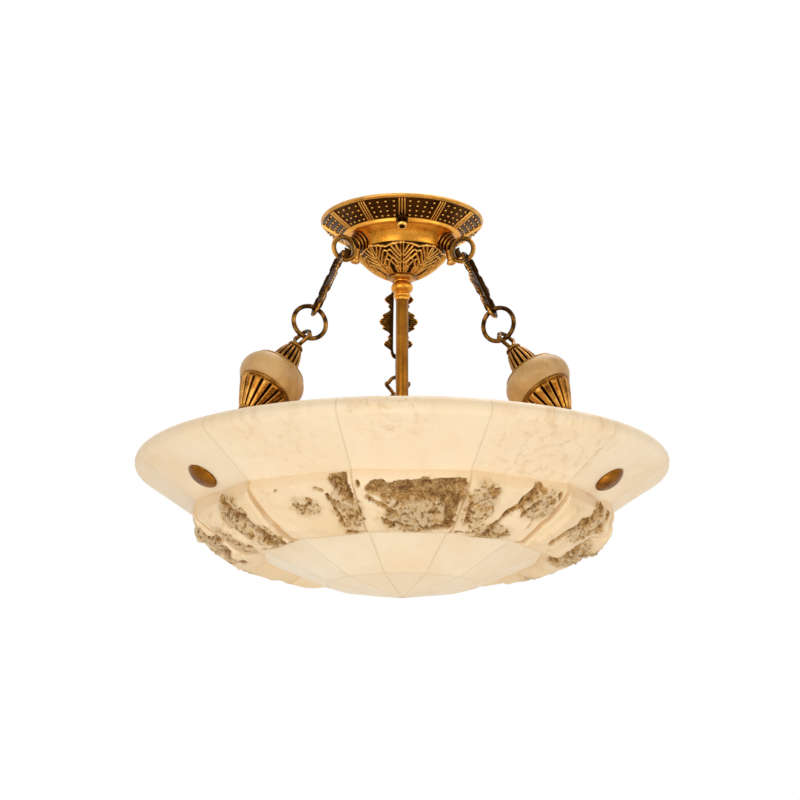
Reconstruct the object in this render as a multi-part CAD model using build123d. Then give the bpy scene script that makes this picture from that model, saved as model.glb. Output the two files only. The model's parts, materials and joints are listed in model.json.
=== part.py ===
from build123d import *

import os
from math import cos, hypot, radians, sin

# Alabaster bowl pendant, millimetres.
# Origin: centre of the canopy's top rim, on the ceiling plane. +Z up, front is -Y.
# Azimuths are measured from the front (-Y) towards +X.
# A piece that repeats round the lamp is drawn with its radius along +X and then turned.

# Overall
BOWL_RADIUS = 250.0
RIM_Z = -240.0
SUSPENSION = {"left": -60.0, "right": 60.0, "back": 180.0}
LAMPS = {"front": 0.0, "right": 120.0, "left": 240.0}
EASE = 0.3
TIP_FLAT = 1.0

# Bowl: four tiers of glued alabaster, measured at the seams between the panels
SEGMENTS = 12
HALF_STEP = 180.0 / SEGMENTS
NOSE_TOP_RADIUS = 246.0
NOSE_WIDEST_Z = -244.0
NOSE_LOW_Z = -250.0
NOSE_END_RADIUS = 245.0
NOSE_END_Z = -256.0
RIM_INNER_RADIUS = 238.0
CREASE_RADIUS = 196.0
CREASE_INNER_RADIUS = 180.0
CREASE_Z = -290.0
LOWER_RADIUS = 132.0
LOWER_Z = -331.5
BASE_RADIUS = 71.0
BASE_Z = -358.0
APEX_Z = -370.0
WALL_RISE = 11.0
SEAT_WALL = 9.0
BLOCK_BULGES = (9.0, 12.0, 17.0, 20.0, 20.0, 18.0, 19.0, 20.0, 19.0, 20.0, 17.0, 11.0)
# Each split face has flat chips at its edges and a run of shallow hollows across it
CHIPS = 5
CHIP_TILT = 15.0
CHIP_REACH = 6.5
HOLLOW_LEANS = (88.0, 52.0, 34.0, -62.0, -40.0, 75.0, 30.0, -75.0, 40.0, -50.0, -48.0, 20.0)
HOLLOW_STEP = 17.0
HOLLOW_RADIUS = 19.0
HOLLOW_DEPTH = 5.0

# Canopy
CANOPY_RADIUS = 79.0
CANOPY_TURN = -2.3
BAND_OUTER = (76.8, -5.5)
RIM_INSIDE = 74.5
BAND_INNER = (56.5, -18.5)
SHELL = 1.8
RIB_SETS = 12
RIB_WIDTH = 1.5
RIB_PITCH = 2.7
RIB_HEIGHT = 1.4
COVE_END = (44.0, -35.0)
DOME_EDGE_RADIUS = 43.5
DOME_FOOT_RADIUS = 13.0
DOME_FOOT_Z = -58.0
LEAVES = 8
LEAF_HEIGHT = 1.5
LEAF_HALF_WIDTH = 11.5
LEAF_TIP_RADIUS = 16.5
MIDRIB_WIDTH = 1.0
SCREW_RADIUS = 2.4
SCREW_SEAT_RADIUS = 57.8
KNOB_RADIUS = 5.0
KNOB_LENGTH = 14.0
KNOB_CLEAR = 0.7
KNOB_AZIMUTHS = {"front": 0.0, "right": 120.0, "left": 240.0}

# Ceiling bracket
BRACKET_RADIUS = 52.0
PLATE = 2.0
DISH_RADIUS = 31.0
DISH_DEPTH = 15.0
SLOT_SPACING = 82.0
SLOT_LENGTH = 14.0
SLOT_WIDTH = 5.0
TAB_WIDTH = 14.0
BLOCK_BACK_X = -23.0
BLOCK_FACE_X = -12.0
BLOCK_TOP_Z = -3.0
BLOCK_HEIGHT = 12.0
BLOCK_WIDTH = 22.0
BLOCK_PITCH = 7.0
LEAD_Z = -6.5

# Stem
ROD_RADIUS = 4.9
LEAD_BORE_RADIUS = 3.5
LEAD_RADIUS = 2.6
LEAD_BEND = 7.0
STEM_RADIUS = 6.0
STEM_BORE_RADIUS = 5.1
STEM_NUT_FLATS = 14.0
ROD_TOP_Z = -12.0
KNOB_NECK_RADIUS = 7.2
KNOB_BALL_RADIUS = 10.65
STEM_TOP_Z = -81.0
HUB_TOP_Z = -250.0
HUB_RADIUS = 17.0
HUB_HEIGHT = 32.0
HUB_WALL = 3.0
ARM_RADIUS = 5.5
ARM_BORE_RADIUS = 3.5
LAMP_Z = -266.0

# Lampholder and bulb
HOLDER_RADIUS = 13.5
HOLDER_START = 21.0
HOLDER_LENGTH = 41.0
CAP_RADIUS = 7.0
CAP_LENGTH = 25.0
GLOBE_RADIUS = 22.5
BULB_LENGTH = 78.0

# Suspension, in the plane of one chain: (radius, height)
HOOK_WIRE = (70.0, -50.5)
EYE_WIRE = (108.5, -134.0)
BALL = (141.0, -181.0)
CHAIN_TWIST = {"left": 10.0, "right": 3.0, "back": 0.0}
EYE_TURN = {"left": 8.0, "right": -12.0, "back": 0.0}
HOOK_ROOT = (44.0, -27.0)
HOOK_END = (55.0, -34.5)
HOOK_BEADS = 4
HOOK_ROOT_RADIUS = 11.0
HOOK_STEP = 1.2
HOOK_FOOT = (50.0, -35.5)
HOOK_FOOT_LEAN = (0.20, -0.98)
LOOP_RADIUS = 11.25
LOOP_WIRE = 2.25
RING_RADIUS = 16.0
RING_WIRE = 2.15
LINK_GAP = 1.6
LINK_END = 5.0
LINK_THICKNESS = 4.6
SLOT_HALF_WIDTH = 5.2
LEAF_THICKNESS = 9.2
LEAF_TAPER = 32.0
EYE_BAR = 1.9
EYE_HALF_WIDTH = 10.6
EYE_GAP = 2.3

# Finial
STONE_RADIUS = 31.5
STONE_EDGE_RADIUS = 26.0
STONE_HALF_HEIGHT = 12.0
BELL_BASE_RADIUS = 13.5
BELL_TOP_RADIUS = 7.0
BELL_HEIGHT = 25.0
BELL_FLUTES = 12
CUP_END_RADIUS = 9.0
CUP_LENGTH = 33.0
CUP_FLUTES = 16
FLANGE_LIP = 23.5
HANGER_RADIUS = 4.0
SEAT_RADIUS = 11.5
INNER_NUT_FLATS = 13.0
NUT_RADIUS = 14.5
NUT_DOME = 6.0
SPOT_RADIUS = 15.5


def turned(shape, azimuth):
    """Turn a piece drawn along +X to its azimuth."""
    return Rot(0, 0, azimuth - 90.0) * shape


def outline(*points):
    """Closed face in the X-Z plane through (radius, height) points."""
    return Plane.XZ * make_face(Polyline(*points, close=True))


def lathe(face):
    """Full turn of a profile about the Z axis."""
    return revolve(face, axis=Axis.Z, revolution_arc=360)


def tube(outer, inner, low, high):
    """Hollow cylinder about the Z axis."""
    return lathe(outline((inner, low), (outer, low), (outer, high), (inner, high)))


def disc(radius, low, high):
    """Solid cylinder about the Z axis between two heights."""
    return Pos(0, 0, (low + high) / 2) * Cylinder(radius, high - low)


def along(origin, direction):
    """Plane in the radial section whose normal runs along direction (radius, height)."""
    dr, dz = direction
    return Plane(origin=(origin[0], 0, origin[1]), x_dir=(dz, 0, -dr), z_dir=(dr, 0, dz))


def fused(pieces):
    """One solid from pieces that touch."""
    first, *rest = pieces
    return first.fuse(*rest).clean() if rest else first


def save(name, *solids):
    """Write one node as a STEP file."""
    flat = [solid for shape in solids for solid in shape.solids()]
    node = flat[0] if len(flat) == 1 else Compound(flat)
    node.label = name
    export_step(node, f"parts/{name}.step")


# ---------------------------------------------------------------- suspension geometry

CHAIN_LENGTH = hypot(EYE_WIRE[0] - HOOK_WIRE[0], EYE_WIRE[1] - HOOK_WIRE[1])
CHAIN_DOWN = (
    (EYE_WIRE[0] - HOOK_WIRE[0]) / CHAIN_LENGTH,
    (EYE_WIRE[1] - HOOK_WIRE[1]) / CHAIN_LENGTH,
)
LINK_REACH = CHAIN_LENGTH - 2 * RING_RADIUS
LOOP_CENTRE = (HOOK_WIRE[0] - CHAIN_DOWN[0] * LOOP_RADIUS, HOOK_WIRE[1] - CHAIN_DOWN[1] * LOOP_RADIUS)
RING_CENTRE = (
    HOOK_WIRE[0] + CHAIN_DOWN[0] * (LINK_REACH + RING_RADIUS),
    HOOK_WIRE[1] + CHAIN_DOWN[1] * (LINK_REACH + RING_RADIUS),
)
EYE_HEIGHT = hypot(EYE_WIRE[0] - BALL[0], EYE_WIRE[1] - BALL[1])
FINIAL_UP = ((EYE_WIRE[0] - BALL[0]) / EYE_HEIGHT, (EYE_WIRE[1] - BALL[1]) / EYE_HEIGHT)
APOTHEM = cos(radians(HALF_STEP))
# Distance down the finial's axis to the outer face of the rim tier at a panel's middle
WALL_SLOPE = (NOSE_END_Z - CREASE_Z) / (NOSE_END_RADIUS - CREASE_RADIUS * APOTHEM)
WALL_REACH = (
    (BALL[1] - NOSE_END_Z - (BALL[0] - NOSE_END_RADIUS) * WALL_SLOPE)
    / (FINIAL_UP[1] - FINIAL_UP[0] * WALL_SLOPE)
)


# ---------------------------------------------------------------- bowl

def sector_section(height, inner, outer, curved):
    """Level section of one rim panel: arcs where the rim is round, lines at the crease."""
    half = radians(HALF_STEP)

    def edge(radius):
        start = (radius * cos(half), -radius * sin(half), height)
        end = (radius * cos(half), radius * sin(half), height)
        if curved:
            return ThreePointArc(start, (radius, 0, height), end)
        return Line(start, end)

    inside = edge(inner)
    outside = edge(outer)
    sides = (Line(inside @ 0, outside @ 0), Line(inside @ 1, outside @ 1))
    return make_face([inside, outside, *sides])


def inner_radius_at(height):
    """Inner face of the rim tier between the rim and the crease."""
    share = (RIM_Z - height) / (RIM_Z - CREASE_Z)
    return RIM_INNER_RADIUS + share * (CREASE_INNER_RADIUS - RIM_INNER_RADIUS)


def rim_panel():
    """Curved rim with a thick rounded nose, running into a flat crease."""
    nose = (
        (RIM_Z, NOSE_TOP_RADIUS),
        (NOSE_WIDEST_Z, BOWL_RADIUS),
        (NOSE_LOW_Z, BOWL_RADIUS),
        (NOSE_END_Z, NOSE_END_RADIUS),
    )
    sections = [sector_section(z, inner_radius_at(z), outer, True) for z, outer in nose]
    sections.append(sector_section(CREASE_Z, CREASE_INNER_RADIUS, CREASE_RADIUS, False))
    return loft(sections, ruled=True)


def wedge():
    """Thirty-degree slice that one panel fills."""
    reach = 2 * BOWL_RADIUS
    half = radians(HALF_STEP)
    corners = ((0, 0), (reach * cos(half), -reach * sin(half)), (reach * cos(half), reach * sin(half)))
    return extrude(Pos(0, 0, 2 * APEX_Z) * make_face(Polyline(*corners, close=True)), -2 * APEX_Z)


def facet(*points):
    """Flat-faced panel: a straight bar of the section, mitred by the slice."""
    section = outline(*[(radius * APOTHEM, height) for radius, height in points])
    bar = extrude(section, amount=BOWL_RADIUS, both=True)
    return bar & wedge()


def rough_block(bulge):
    """Split-faced block, bulging past the line from the crease to the lower tier."""
    run = (LOWER_RADIUS - CREASE_RADIUS, LOWER_Z - CREASE_Z)
    length = hypot(*run)
    out = (-run[1] / length, run[0] / length)

    def station(share, depth):
        return (
            CREASE_RADIUS + run[0] * share + out[0] * bulge * depth,
            CREASE_Z + run[1] * share + out[1] * bulge * depth,
        )

    return facet(
        (CREASE_RADIUS, CREASE_Z),
        station(0.0, 0.30),
        station(0.09, 0.80),
        station(0.28, 1.0),
        station(0.72, 1.0),
        station(0.88, 0.85),
        (LOWER_RADIUS, LOWER_Z),
        (LOWER_RADIUS, LOWER_Z + WALL_RISE),
        (CREASE_INNER_RADIUS, CREASE_Z),
    )


def split_face(index):
    """One block with its outer face hewn: chips round its edges, then a run of hollows."""
    bulge = BLOCK_BULGES[index]
    run = (LOWER_RADIUS - CREASE_RADIUS, LOWER_Z - CREASE_Z)
    length = hypot(*run)
    out = (-run[1] / length, run[0] / length)
    middle = (
        (CREASE_RADIUS + run[0] / 2) * APOTHEM + out[0] * bulge,
        CREASE_Z + run[1] / 2 + out[1] * bulge,
    )
    face = along(middle, out)
    waste = Pos(0, 0, BOWL_RADIUS / 2) * Box(BOWL_RADIUS, BOWL_RADIUS, BOWL_RADIUS)
    block = rough_block(bulge)
    for chip in range(CHIPS):
        heading = (chip + 0.37 * index) * 360.0 / CHIPS
        tilt = CHIP_TILT * (1.0 + 0.25 * sin(2.0 * index + chip))
        block = block - face * Rot(0, 0, heading) * Rot(0, tilt, 0) * Pos(0, 0, CHIP_REACH) * waste
    lean = HOLLOW_LEANS[index]
    for place in (-1.2, 0.0, 1.2):
        radius = HOLLOW_RADIUS + 4.0 * sin(1.7 * index + 2.3 * place)
        depth = HOLLOW_DEPTH + 1.5 * cos(2.9 * index + 1.9 * place)
        side = 5.0 * sin(3.1 * index + 2.7 * place)
        hollow = Pos(place * HOLLOW_STEP, side, radius - depth) * Sphere(radius)
        block = block - face * Rot(0, 0, lean) * hollow
    return block


def lower_panel():
    return facet(
        (LOWER_RADIUS, LOWER_Z),
        (BASE_RADIUS, BASE_Z),
        (BASE_RADIUS, BASE_Z + WALL_RISE),
        (LOWER_RADIUS, LOWER_Z + WALL_RISE),
    )


def base_panel():
    return facet(
        (BASE_RADIUS, BASE_Z),
        (0, APEX_Z),
        (0, APEX_Z + WALL_RISE),
        (BASE_RADIUS, BASE_Z + WALL_RISE),
    )


def hanger_hole():
    """Hole for the hanger rod and the ground seats for its nuts, through one rim panel."""
    hole = disc(HANGER_RADIUS + EASE, -WALL_REACH - 40, -WALL_REACH + 40)
    outer_seat = disc(SPOT_RADIUS, -WALL_REACH - 20, -WALL_REACH)
    inner_seat = disc(SEAT_RADIUS, -WALL_REACH + SEAT_WALL, -WALL_REACH + 40)
    return along(BALL, FINIAL_UP) * fused([hole, outer_seat, inner_seat])


def build_bowl():
    panel = rim_panel()
    drilled = panel - hanger_hole()
    hung = [azimuth % 360 for azimuth in SUSPENSION.values()]
    lowers = []
    bases = []
    for index in range(SEGMENTS):
        azimuth = index * 2 * HALF_STEP
        shape = drilled if azimuth in hung else panel
        save(f"rim_panel_{index + 1:02d}", turned(shape, azimuth))
        lowers.append(turned(lower_panel(), azimuth))
        bases.append(turned(base_panel(), azimuth))
    blocks = [turned(split_face(index), index * 2 * HALF_STEP) for index in range(SEGMENTS)]
    save("rough_blocks", *blocks)
    save("lower_panels", *lowers)
    save("base_panels", *bases)


# ---------------------------------------------------------------- canopy and bracket

BAND_RUN = (BAND_OUTER[0] - BAND_INNER[0], BAND_OUTER[1] - BAND_INNER[1])
BAND_LENGTH = hypot(*BAND_RUN)
BAND_ALONG = (BAND_RUN[0] / BAND_LENGTH, BAND_RUN[1] / BAND_LENGTH)
BAND_OUT = (BAND_ALONG[1], -BAND_ALONG[0])


def band_height(radius):
    """Height of the band's outer face at a radius."""
    return BAND_INNER[1] + (radius - BAND_INNER[0]) * BAND_RUN[1] / BAND_RUN[0]


SCREW_SEAT = (SCREW_SEAT_RADIUS, band_height(SCREW_SEAT_RADIUS))


def canopy_shell():
    """Rolled rim, sloping band, a small bead and a cove, 1.8 mm thick."""
    rim_top = (CANOPY_RADIUS - 1.6, 0)
    inside = (RIM_INSIDE, band_height(RIM_INSIDE) + SHELL + 0.4)
    rim = [
        Line((RIM_INSIDE, 0), rim_top),
        ThreePointArc(rim_top, (CANOPY_RADIUS, -3.0), BAND_OUTER),
        Line(BAND_OUTER, BAND_INNER),
        ThreePointArc(BAND_INNER, (56.4, -20.6), (54.2, -21.0)),
        ThreePointArc((54.2, -21.0), (47.4, -26.2), COVE_END),
        Line(COVE_END, (COVE_END[0] - SHELL, COVE_END[1])),
        ThreePointArc((COVE_END[0] - SHELL, COVE_END[1]), (45.8, -25.4), (53.0, -19.0)),
        Line((53.0, -19.0), inside),
        Line(inside, (RIM_INSIDE, 0)),
    ]
    return lathe(Plane.XZ * make_face(rim))


def band_ribs():
    """Three raised radial ribs between each pair of beaded fields."""
    middle = (
        (BAND_INNER[0] + BAND_OUTER[0]) / 2 + BAND_OUT[0] * RIB_HEIGHT / 4,
        (BAND_INNER[1] + BAND_OUTER[1]) / 2 + BAND_OUT[1] * RIB_HEIGHT / 4,
    )
    rib = Box(BAND_LENGTH - 2 * EASE - 1.0, RIB_WIDTH, RIB_HEIGHT * 1.5)
    ribs = []
    for index in range(RIB_SETS):
        for side in (-1, 0, 1):
            placed = along(middle, BAND_OUT) * Pos(0, side * RIB_PITCH, 0) * rib
            ribs.append(turned(placed, CANOPY_TURN + index * 360.0 / RIB_SETS))
    return ribs


def screw_hole():
    return along(SCREW_SEAT, BAND_OUT) * Cylinder(SCREW_RADIUS + EASE, 30)


def canopy_plate():
    holes = [turned(screw_hole(), CANOPY_TURN + azimuth) for azimuth in KNOB_AZIMUTHS.values()]
    return fused([canopy_shell(), *band_ribs()]) - holes


def dome_face(swell):
    """Section of the leafed dome, its outer line moved out by swell."""
    edge = (DOME_EDGE_RADIUS + swell, COVE_END[1])
    foot = (DOME_FOOT_RADIUS + swell, DOME_FOOT_Z - swell)
    lines = [
        ThreePointArc(edge, (30.2 + swell, -48.9 - swell), foot),
        Line(foot, (ROD_RADIUS + EASE, foot[1])),
        Line((ROD_RADIUS + EASE, foot[1]), (ROD_RADIUS + EASE, DOME_FOOT_Z + SHELL)),
        Line((ROD_RADIUS + EASE, DOME_FOOT_Z + SHELL), (DOME_FOOT_RADIUS, DOME_FOOT_Z + SHELL)),
        ThreePointArc((DOME_FOOT_RADIUS, DOME_FOOT_Z + SHELL), (28.9, -47.0), (41.5, COVE_END[1])),
        Line((41.5, COVE_END[1]), edge),
    ]
    return Plane.XZ * make_face(lines)


def canopy_dome():
    """Cast dome with a ring of pointed leaves."""
    tip = (LEAF_TIP_RADIUS, 0)
    waist = (DOME_EDGE_RADIUS - 14.5, LEAF_HALF_WIDTH * 0.75)
    corner = (DOME_EDGE_RADIUS - 1, LEAF_HALF_WIDTH)
    swell = (DOME_EDGE_RADIUS + 0.7, LEAF_HALF_WIDTH / 2)
    top = (DOME_EDGE_RADIUS + LEAF_HEIGHT, 0)
    half = [ThreePointArc(tip, waist, corner), ThreePointArc(corner, swell, top)]
    leaf = make_face([*half, *[mirror(line, about=Plane.XZ) for line in half]])
    prism = extrude(Pos(0, 0, DOME_FOOT_Z - 10) * leaf, 40)
    raised = lathe(dome_face(LEAF_HEIGHT)) & prism
    leaves = [turned(raised, index * 360.0 / LEAVES) for index in range(LEAVES)]
    groove = Box(40, MIDRIB_WIDTH, 60)
    collar = tube(DOME_FOOT_RADIUS, ROD_RADIUS + EASE, DOME_FOOT_Z - 3, DOME_FOOT_Z + 0.5)
    dome = fused([lathe(dome_face(0)), collar, *leaves])
    midribs = [
        turned(Pos(31, 0, DOME_FOOT_Z - 10) * groove, index * 360.0 / LEAVES) for index in range(LEAVES)
    ]
    shallow = lathe(dome_face(LEAF_HEIGHT)) - lathe(dome_face(LEAF_HEIGHT / 2))
    return dome - [shallow & midrib for midrib in midribs]


def ceiling_bracket():
    """Pressed plate with a dished middle, two screw slots and three bent tabs."""
    plate = lathe(
        outline(
            (ROD_RADIUS + EASE, -DISH_DEPTH),
            (DISH_RADIUS - 4, -DISH_DEPTH),
            (DISH_RADIUS, 0),
            (BRACKET_RADIUS, 0),
            (BRACKET_RADIUS, -PLATE),
            (DISH_RADIUS + 1, -PLATE),
            (DISH_RADIUS - 3, -DISH_DEPTH - PLATE),
            (ROD_RADIUS + EASE, -DISH_DEPTH - PLATE),
        )
    )
    slot = extrude(Pos(0, 0, -PLATE - 1) * SlotOverall(SLOT_LENGTH, SLOT_WIDTH), PLATE + 2)
    slots = [Pos(side * SLOT_SPACING / 2, 0, 0) * slot for side in (-1, 1)]
    inside = (
        SCREW_SEAT[0] - BAND_OUT[0] * (SHELL + EASE + PLATE / 2),
        SCREW_SEAT[1] - BAND_OUT[1] * (SHELL + EASE + PLATE / 2),
    )
    foot = along(inside, BAND_OUT) * Box(2 * (SCREW_SEAT_RADIUS - BRACKET_RADIUS) + 2, TAB_WIDTH, PLATE)
    leg_low = inside[1] - (SCREW_SEAT_RADIUS - BRACKET_RADIUS) * BAND_RUN[1] / BAND_RUN[0]
    leg = Pos(BRACKET_RADIUS - PLATE / 2, 0, leg_low / 2) * Box(PLATE, TAB_WIDTH, -leg_low)
    threaded = screw_hole()
    tabs = []
    for azimuth in KNOB_AZIMUTHS.values():
        tabs.append(turned(fused([foot, leg]) - threaded, CANOPY_TURN + azimuth))
    return fused([plate - slots, *tabs])


def thumb_screw():
    """Round-ended knob on a screw, square to the band."""
    shank = disc(SCREW_RADIUS, -8.0, RIB_HEIGHT + KNOB_CLEAR)
    seat = RIB_HEIGHT + KNOB_CLEAR
    flange = KNOB_RADIUS + 0.8
    round_from = KNOB_LENGTH - 3
    tip = (TIP_FLAT, KNOB_LENGTH)
    lines = [
        Line((0, seat), (flange, seat)),
        Line((flange, seat), (flange, seat + 1.6)),
        Line((flange, seat + 1.6), (KNOB_RADIUS, seat + 2.4)),
        Line((KNOB_RADIUS, seat + 2.4), (KNOB_RADIUS, round_from)),
        ThreePointArc((KNOB_RADIUS, round_from), (KNOB_RADIUS * 0.8, KNOB_LENGTH - 1), tip),
        Line(tip, (0, KNOB_LENGTH)),
        Line((0, KNOB_LENGTH), (0, seat)),
    ]
    knob = lathe(Plane.XZ * make_face(lines))
    return along(SCREW_SEAT, BAND_OUT) * fused([knob, shank])


def terminal_block():
    """Three-way block on the floor of the dish, with its wire holes and screw wells."""
    width = BLOCK_FACE_X - BLOCK_BACK_X
    middle = Pos((BLOCK_FACE_X + BLOCK_BACK_X) / 2, 0, BLOCK_TOP_Z)
    body = middle * Pos(0, 0, -BLOCK_HEIGHT / 2) * Box(width, BLOCK_WIDTH, BLOCK_HEIGHT)
    wells = [middle * Pos(0, step * BLOCK_PITCH, -1.5) * Cylinder(2.2, 4) for step in (-1, 0, 1)]
    entry = Pos(BLOCK_BACK_X, 0, LEAD_Z) * Rot(0, 90, 0) * Cylinder(1.6, 8)
    entries = [Pos(0, step * BLOCK_PITCH, 0) * entry for step in (-1, 0, 1)]
    return body - [*wells, *entries]


def canopy_hook():
    """Ringed barrel, closed loop and a capped foot, cast in one piece."""
    run = (HOOK_END[0] - HOOK_ROOT[0], HOOK_END[1] - HOOK_ROOT[1])
    length = hypot(*run)
    direction = (run[0] / length, run[1] / length)
    lines = [Line((0, 0), (HOOK_ROOT_RADIUS, 0))]
    pitch = length / HOOK_BEADS
    for index in range(HOOK_BEADS):
        low = HOOK_ROOT_RADIUS - HOOK_STEP * index
        high = low - HOOK_STEP
        base = index * pitch
        lines.append(ThreePointArc((low, base), (low + 0.5, base + pitch / 2), (high, base + pitch)))
    lines.append(Line((HOOK_ROOT_RADIUS - HOOK_STEP * HOOK_BEADS, length), (0, length)))
    lines.append(Line((0, length), (0, 0)))
    barrel = along(HOOK_ROOT, direction) * lathe(Plane.XZ * make_face(lines))
    loop = Plane(origin=(LOOP_CENTRE[0], 0, LOOP_CENTRE[1]), z_dir=(0, 1, 0)) * Torus(LOOP_RADIUS, LOOP_WIRE)
    foot = lathe(outline((0, 0), (3.6, 0), (3.6, 14.5), (4.3, 15.2), (4.3, 16.8), (3.4, 17.6), (0, 17.6)))
    foot = along(HOOK_FOOT, HOOK_FOOT_LEAN) * foot
    return fused([barrel, loop, foot])


def build_ceiling_unit():
    plate = canopy_plate()
    save("ceiling_bracket", ceiling_bracket())
    save("terminal_block", terminal_block())
    save("canopy_plate", plate)
    save("canopy_dome", canopy_dome())
    for side, azimuth in KNOB_AZIMUTHS.items():
        save(f"thumb_screw_{side}", turned(thumb_screw(), CANOPY_TURN + azimuth))
    shell = canopy_shell()
    void = disc(COVE_END[0], COVE_END[1], 0)
    dome = lathe(dome_face(LEAF_HEIGHT))
    hook = (canopy_hook() - shell) - void - dome
    hook = max(hook.solids(), key=lambda solid: solid.volume)
    for side, azimuth in SUSPENSION.items():
        save(f"canopy_hook_{side}", turned(hook, azimuth))


# ---------------------------------------------------------------- stem and lamps

def stem_knob():
    """Turned baluster under the dome."""
    bore = STEM_BORE_RADIUS
    top = DOME_FOOT_Z - 3
    neck = KNOB_NECK_RADIUS
    lines = [
        Line((bore, top), (neck, top)),
        ThreePointArc((neck, top), (neck - 0.6, top - 1.4), (neck, top - 2.8)),
        ThreePointArc((neck, top - 2.8), (KNOB_BALL_RADIUS, top - 7.6), (neck, top - 12.6)),
        ThreePointArc((neck, top - 12.6), (neck + 0.8, top - 15.2), (neck, top - 17.6)),
        Line((neck, top - 17.6), (STEM_RADIUS, STEM_TOP_Z)),
        Line((STEM_RADIUS, STEM_TOP_Z), (bore, STEM_TOP_Z)),
        Line((bore, STEM_TOP_Z), (bore, top)),
    ]
    return lathe(Plane.XZ * make_face(lines))


def hex_nut(across_flats, bore, low, high):
    body = extrude(Pos(0, 0, low) * RegularPolygon(across_flats / 2, 6, major_radius=False), high - low)
    return body - disc(bore, low - 1, high + 1)


def stem_nuts():
    """Lock nuts above and below the dished plate."""
    upper = hex_nut(STEM_NUT_FLATS, ROD_RADIUS, -DISH_DEPTH, -DISH_DEPTH + 3.2)
    lower = hex_nut(STEM_NUT_FLATS, ROD_RADIUS, -DISH_DEPTH - PLATE - 5, -DISH_DEPTH - PLATE)
    dome_nut = hex_nut(STEM_NUT_FLATS, ROD_RADIUS, DOME_FOOT_Z + SHELL, DOME_FOOT_Z + SHELL + 4)
    return upper, lower, dome_nut


def lamp_lead():
    """Sheathed lead from the terminal block, down the rod, to the hub."""
    start = (BLOCK_FACE_X, 0, LEAD_Z)
    path = FilletPolyline(start, (0, 0, LEAD_Z), (0, 0, LAMP_Z), radius=LEAD_BEND)
    return sweep(Plane(origin=start, z_dir=(1, 0, 0)) * Circle(LEAD_RADIUS), path=path)


def lamp_hub():
    """Turned hub with three arms and a closing button."""
    top = HUB_TOP_Z
    bottom = HUB_TOP_Z - HUB_HEIGHT
    lines = [
        Line((ROD_RADIUS + 0.1, top), (9.0, top)),
        ThreePointArc((9.0, top), (11.0, top - 4.5), (HUB_RADIUS, top - 7)),
        Line((HUB_RADIUS, top - 7), (HUB_RADIUS, bottom + 7)),
        ThreePointArc((HUB_RADIUS, bottom + 7), (12.0, bottom + 1.5), (TIP_FLAT, bottom)),
        Line((TIP_FLAT, bottom), (0, bottom)),
        Line((0, bottom), (0, bottom + 3)),
        Line((0, bottom + 3), (HUB_RADIUS - HUB_WALL, bottom + 8)),
        Line((HUB_RADIUS - HUB_WALL, bottom + 8), (HUB_RADIUS - HUB_WALL, top - 9)),
        Line((HUB_RADIUS - HUB_WALL, top - 9), (ROD_RADIUS + 0.1, top - 5)),
        Line((ROD_RADIUS + 0.1, top - 5), (ROD_RADIUS + 0.1, top)),
    ]
    body = lathe(Plane.XZ * make_face(lines))
    arm = Pos((HUB_RADIUS - 2 + HOLDER_START) / 2, 0, LAMP_Z) * Rot(0, 90, 0)
    arm_solid = arm * Cylinder(ARM_RADIUS, HOLDER_START - HUB_RADIUS + 2)
    arm_bore = arm * Cylinder(ARM_BORE_RADIUS, 20)
    arms = [turned(arm_solid, azimuth) for azimuth in LAMPS.values()]
    bores = [turned(arm_bore, azimuth) for azimuth in LAMPS.values()]
    return fused([body, *arms]) - bores


def lamp_axis():
    return Plane(origin=(HOLDER_START, 0, LAMP_Z), x_dir=(0, 0, -1), z_dir=(1, 0, 0))


def lampholder():
    """Ribbed cup with the cap's seat open at its mouth."""
    skirt = HOLDER_LENGTH
    cap_seat = HOLDER_LENGTH - CAP_LENGTH
    profile = outline(
        (0, 0),
        (7.0, 0),
        (9.0, 6.0),
        (HOLDER_RADIUS - 1.5, 12.0),
        (HOLDER_RADIUS - 1.5, skirt - 10),
        (HOLDER_RADIUS, skirt - 10),
        (HOLDER_RADIUS, skirt),
        (CAP_RADIUS + EASE, skirt),
        (CAP_RADIUS + EASE, cap_seat - 0.5),
        (0, cap_seat - 0.5),
    )
    return lamp_axis() * lathe(profile)


def bulb():
    """Globe bulb on its screw cap."""
    base = HOLDER_LENGTH - CAP_LENGTH
    middle = base + BULB_LENGTH - GLOBE_RADIUS
    neck = HOLDER_LENGTH + 1.0
    shoulder = middle - GLOBE_RADIUS * 0.8
    lines = [
        Line((0, base), (3.0, base)),
        Line((3.0, base), (CAP_RADIUS - 0.2, base + 3)),
        Line((CAP_RADIUS - 0.2, base + 3), (CAP_RADIUS - 0.2, neck)),
        Line((CAP_RADIUS - 0.2, neck), (GLOBE_RADIUS * 0.6, shoulder)),
        ThreePointArc((GLOBE_RADIUS * 0.6, shoulder), (GLOBE_RADIUS, middle), (0, middle + GLOBE_RADIUS)),
        Line((0, middle + GLOBE_RADIUS), (0, base)),
    ]
    return lamp_axis() * lathe(Plane.XZ * make_face(lines))


def build_stem_and_lamps():
    save("stem_nuts", *stem_nuts())
    save("stem_rod", tube(ROD_RADIUS, LEAD_BORE_RADIUS, HUB_TOP_Z - 7, ROD_TOP_Z))
    save("lamp_lead", lamp_lead())
    save("stem_knob", stem_knob())
    save("stem_tube", tube(STEM_RADIUS, STEM_BORE_RADIUS, HUB_TOP_Z, STEM_TOP_Z))
    save("lamp_hub", lamp_hub())
    for side, azimuth in LAMPS.items():
        save(f"lampholder_{side}", turned(lampholder(), azimuth))
        save(f"bulb_{side}", turned(bulb(), azimuth))


# ---------------------------------------------------------------- chains and finials

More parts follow.
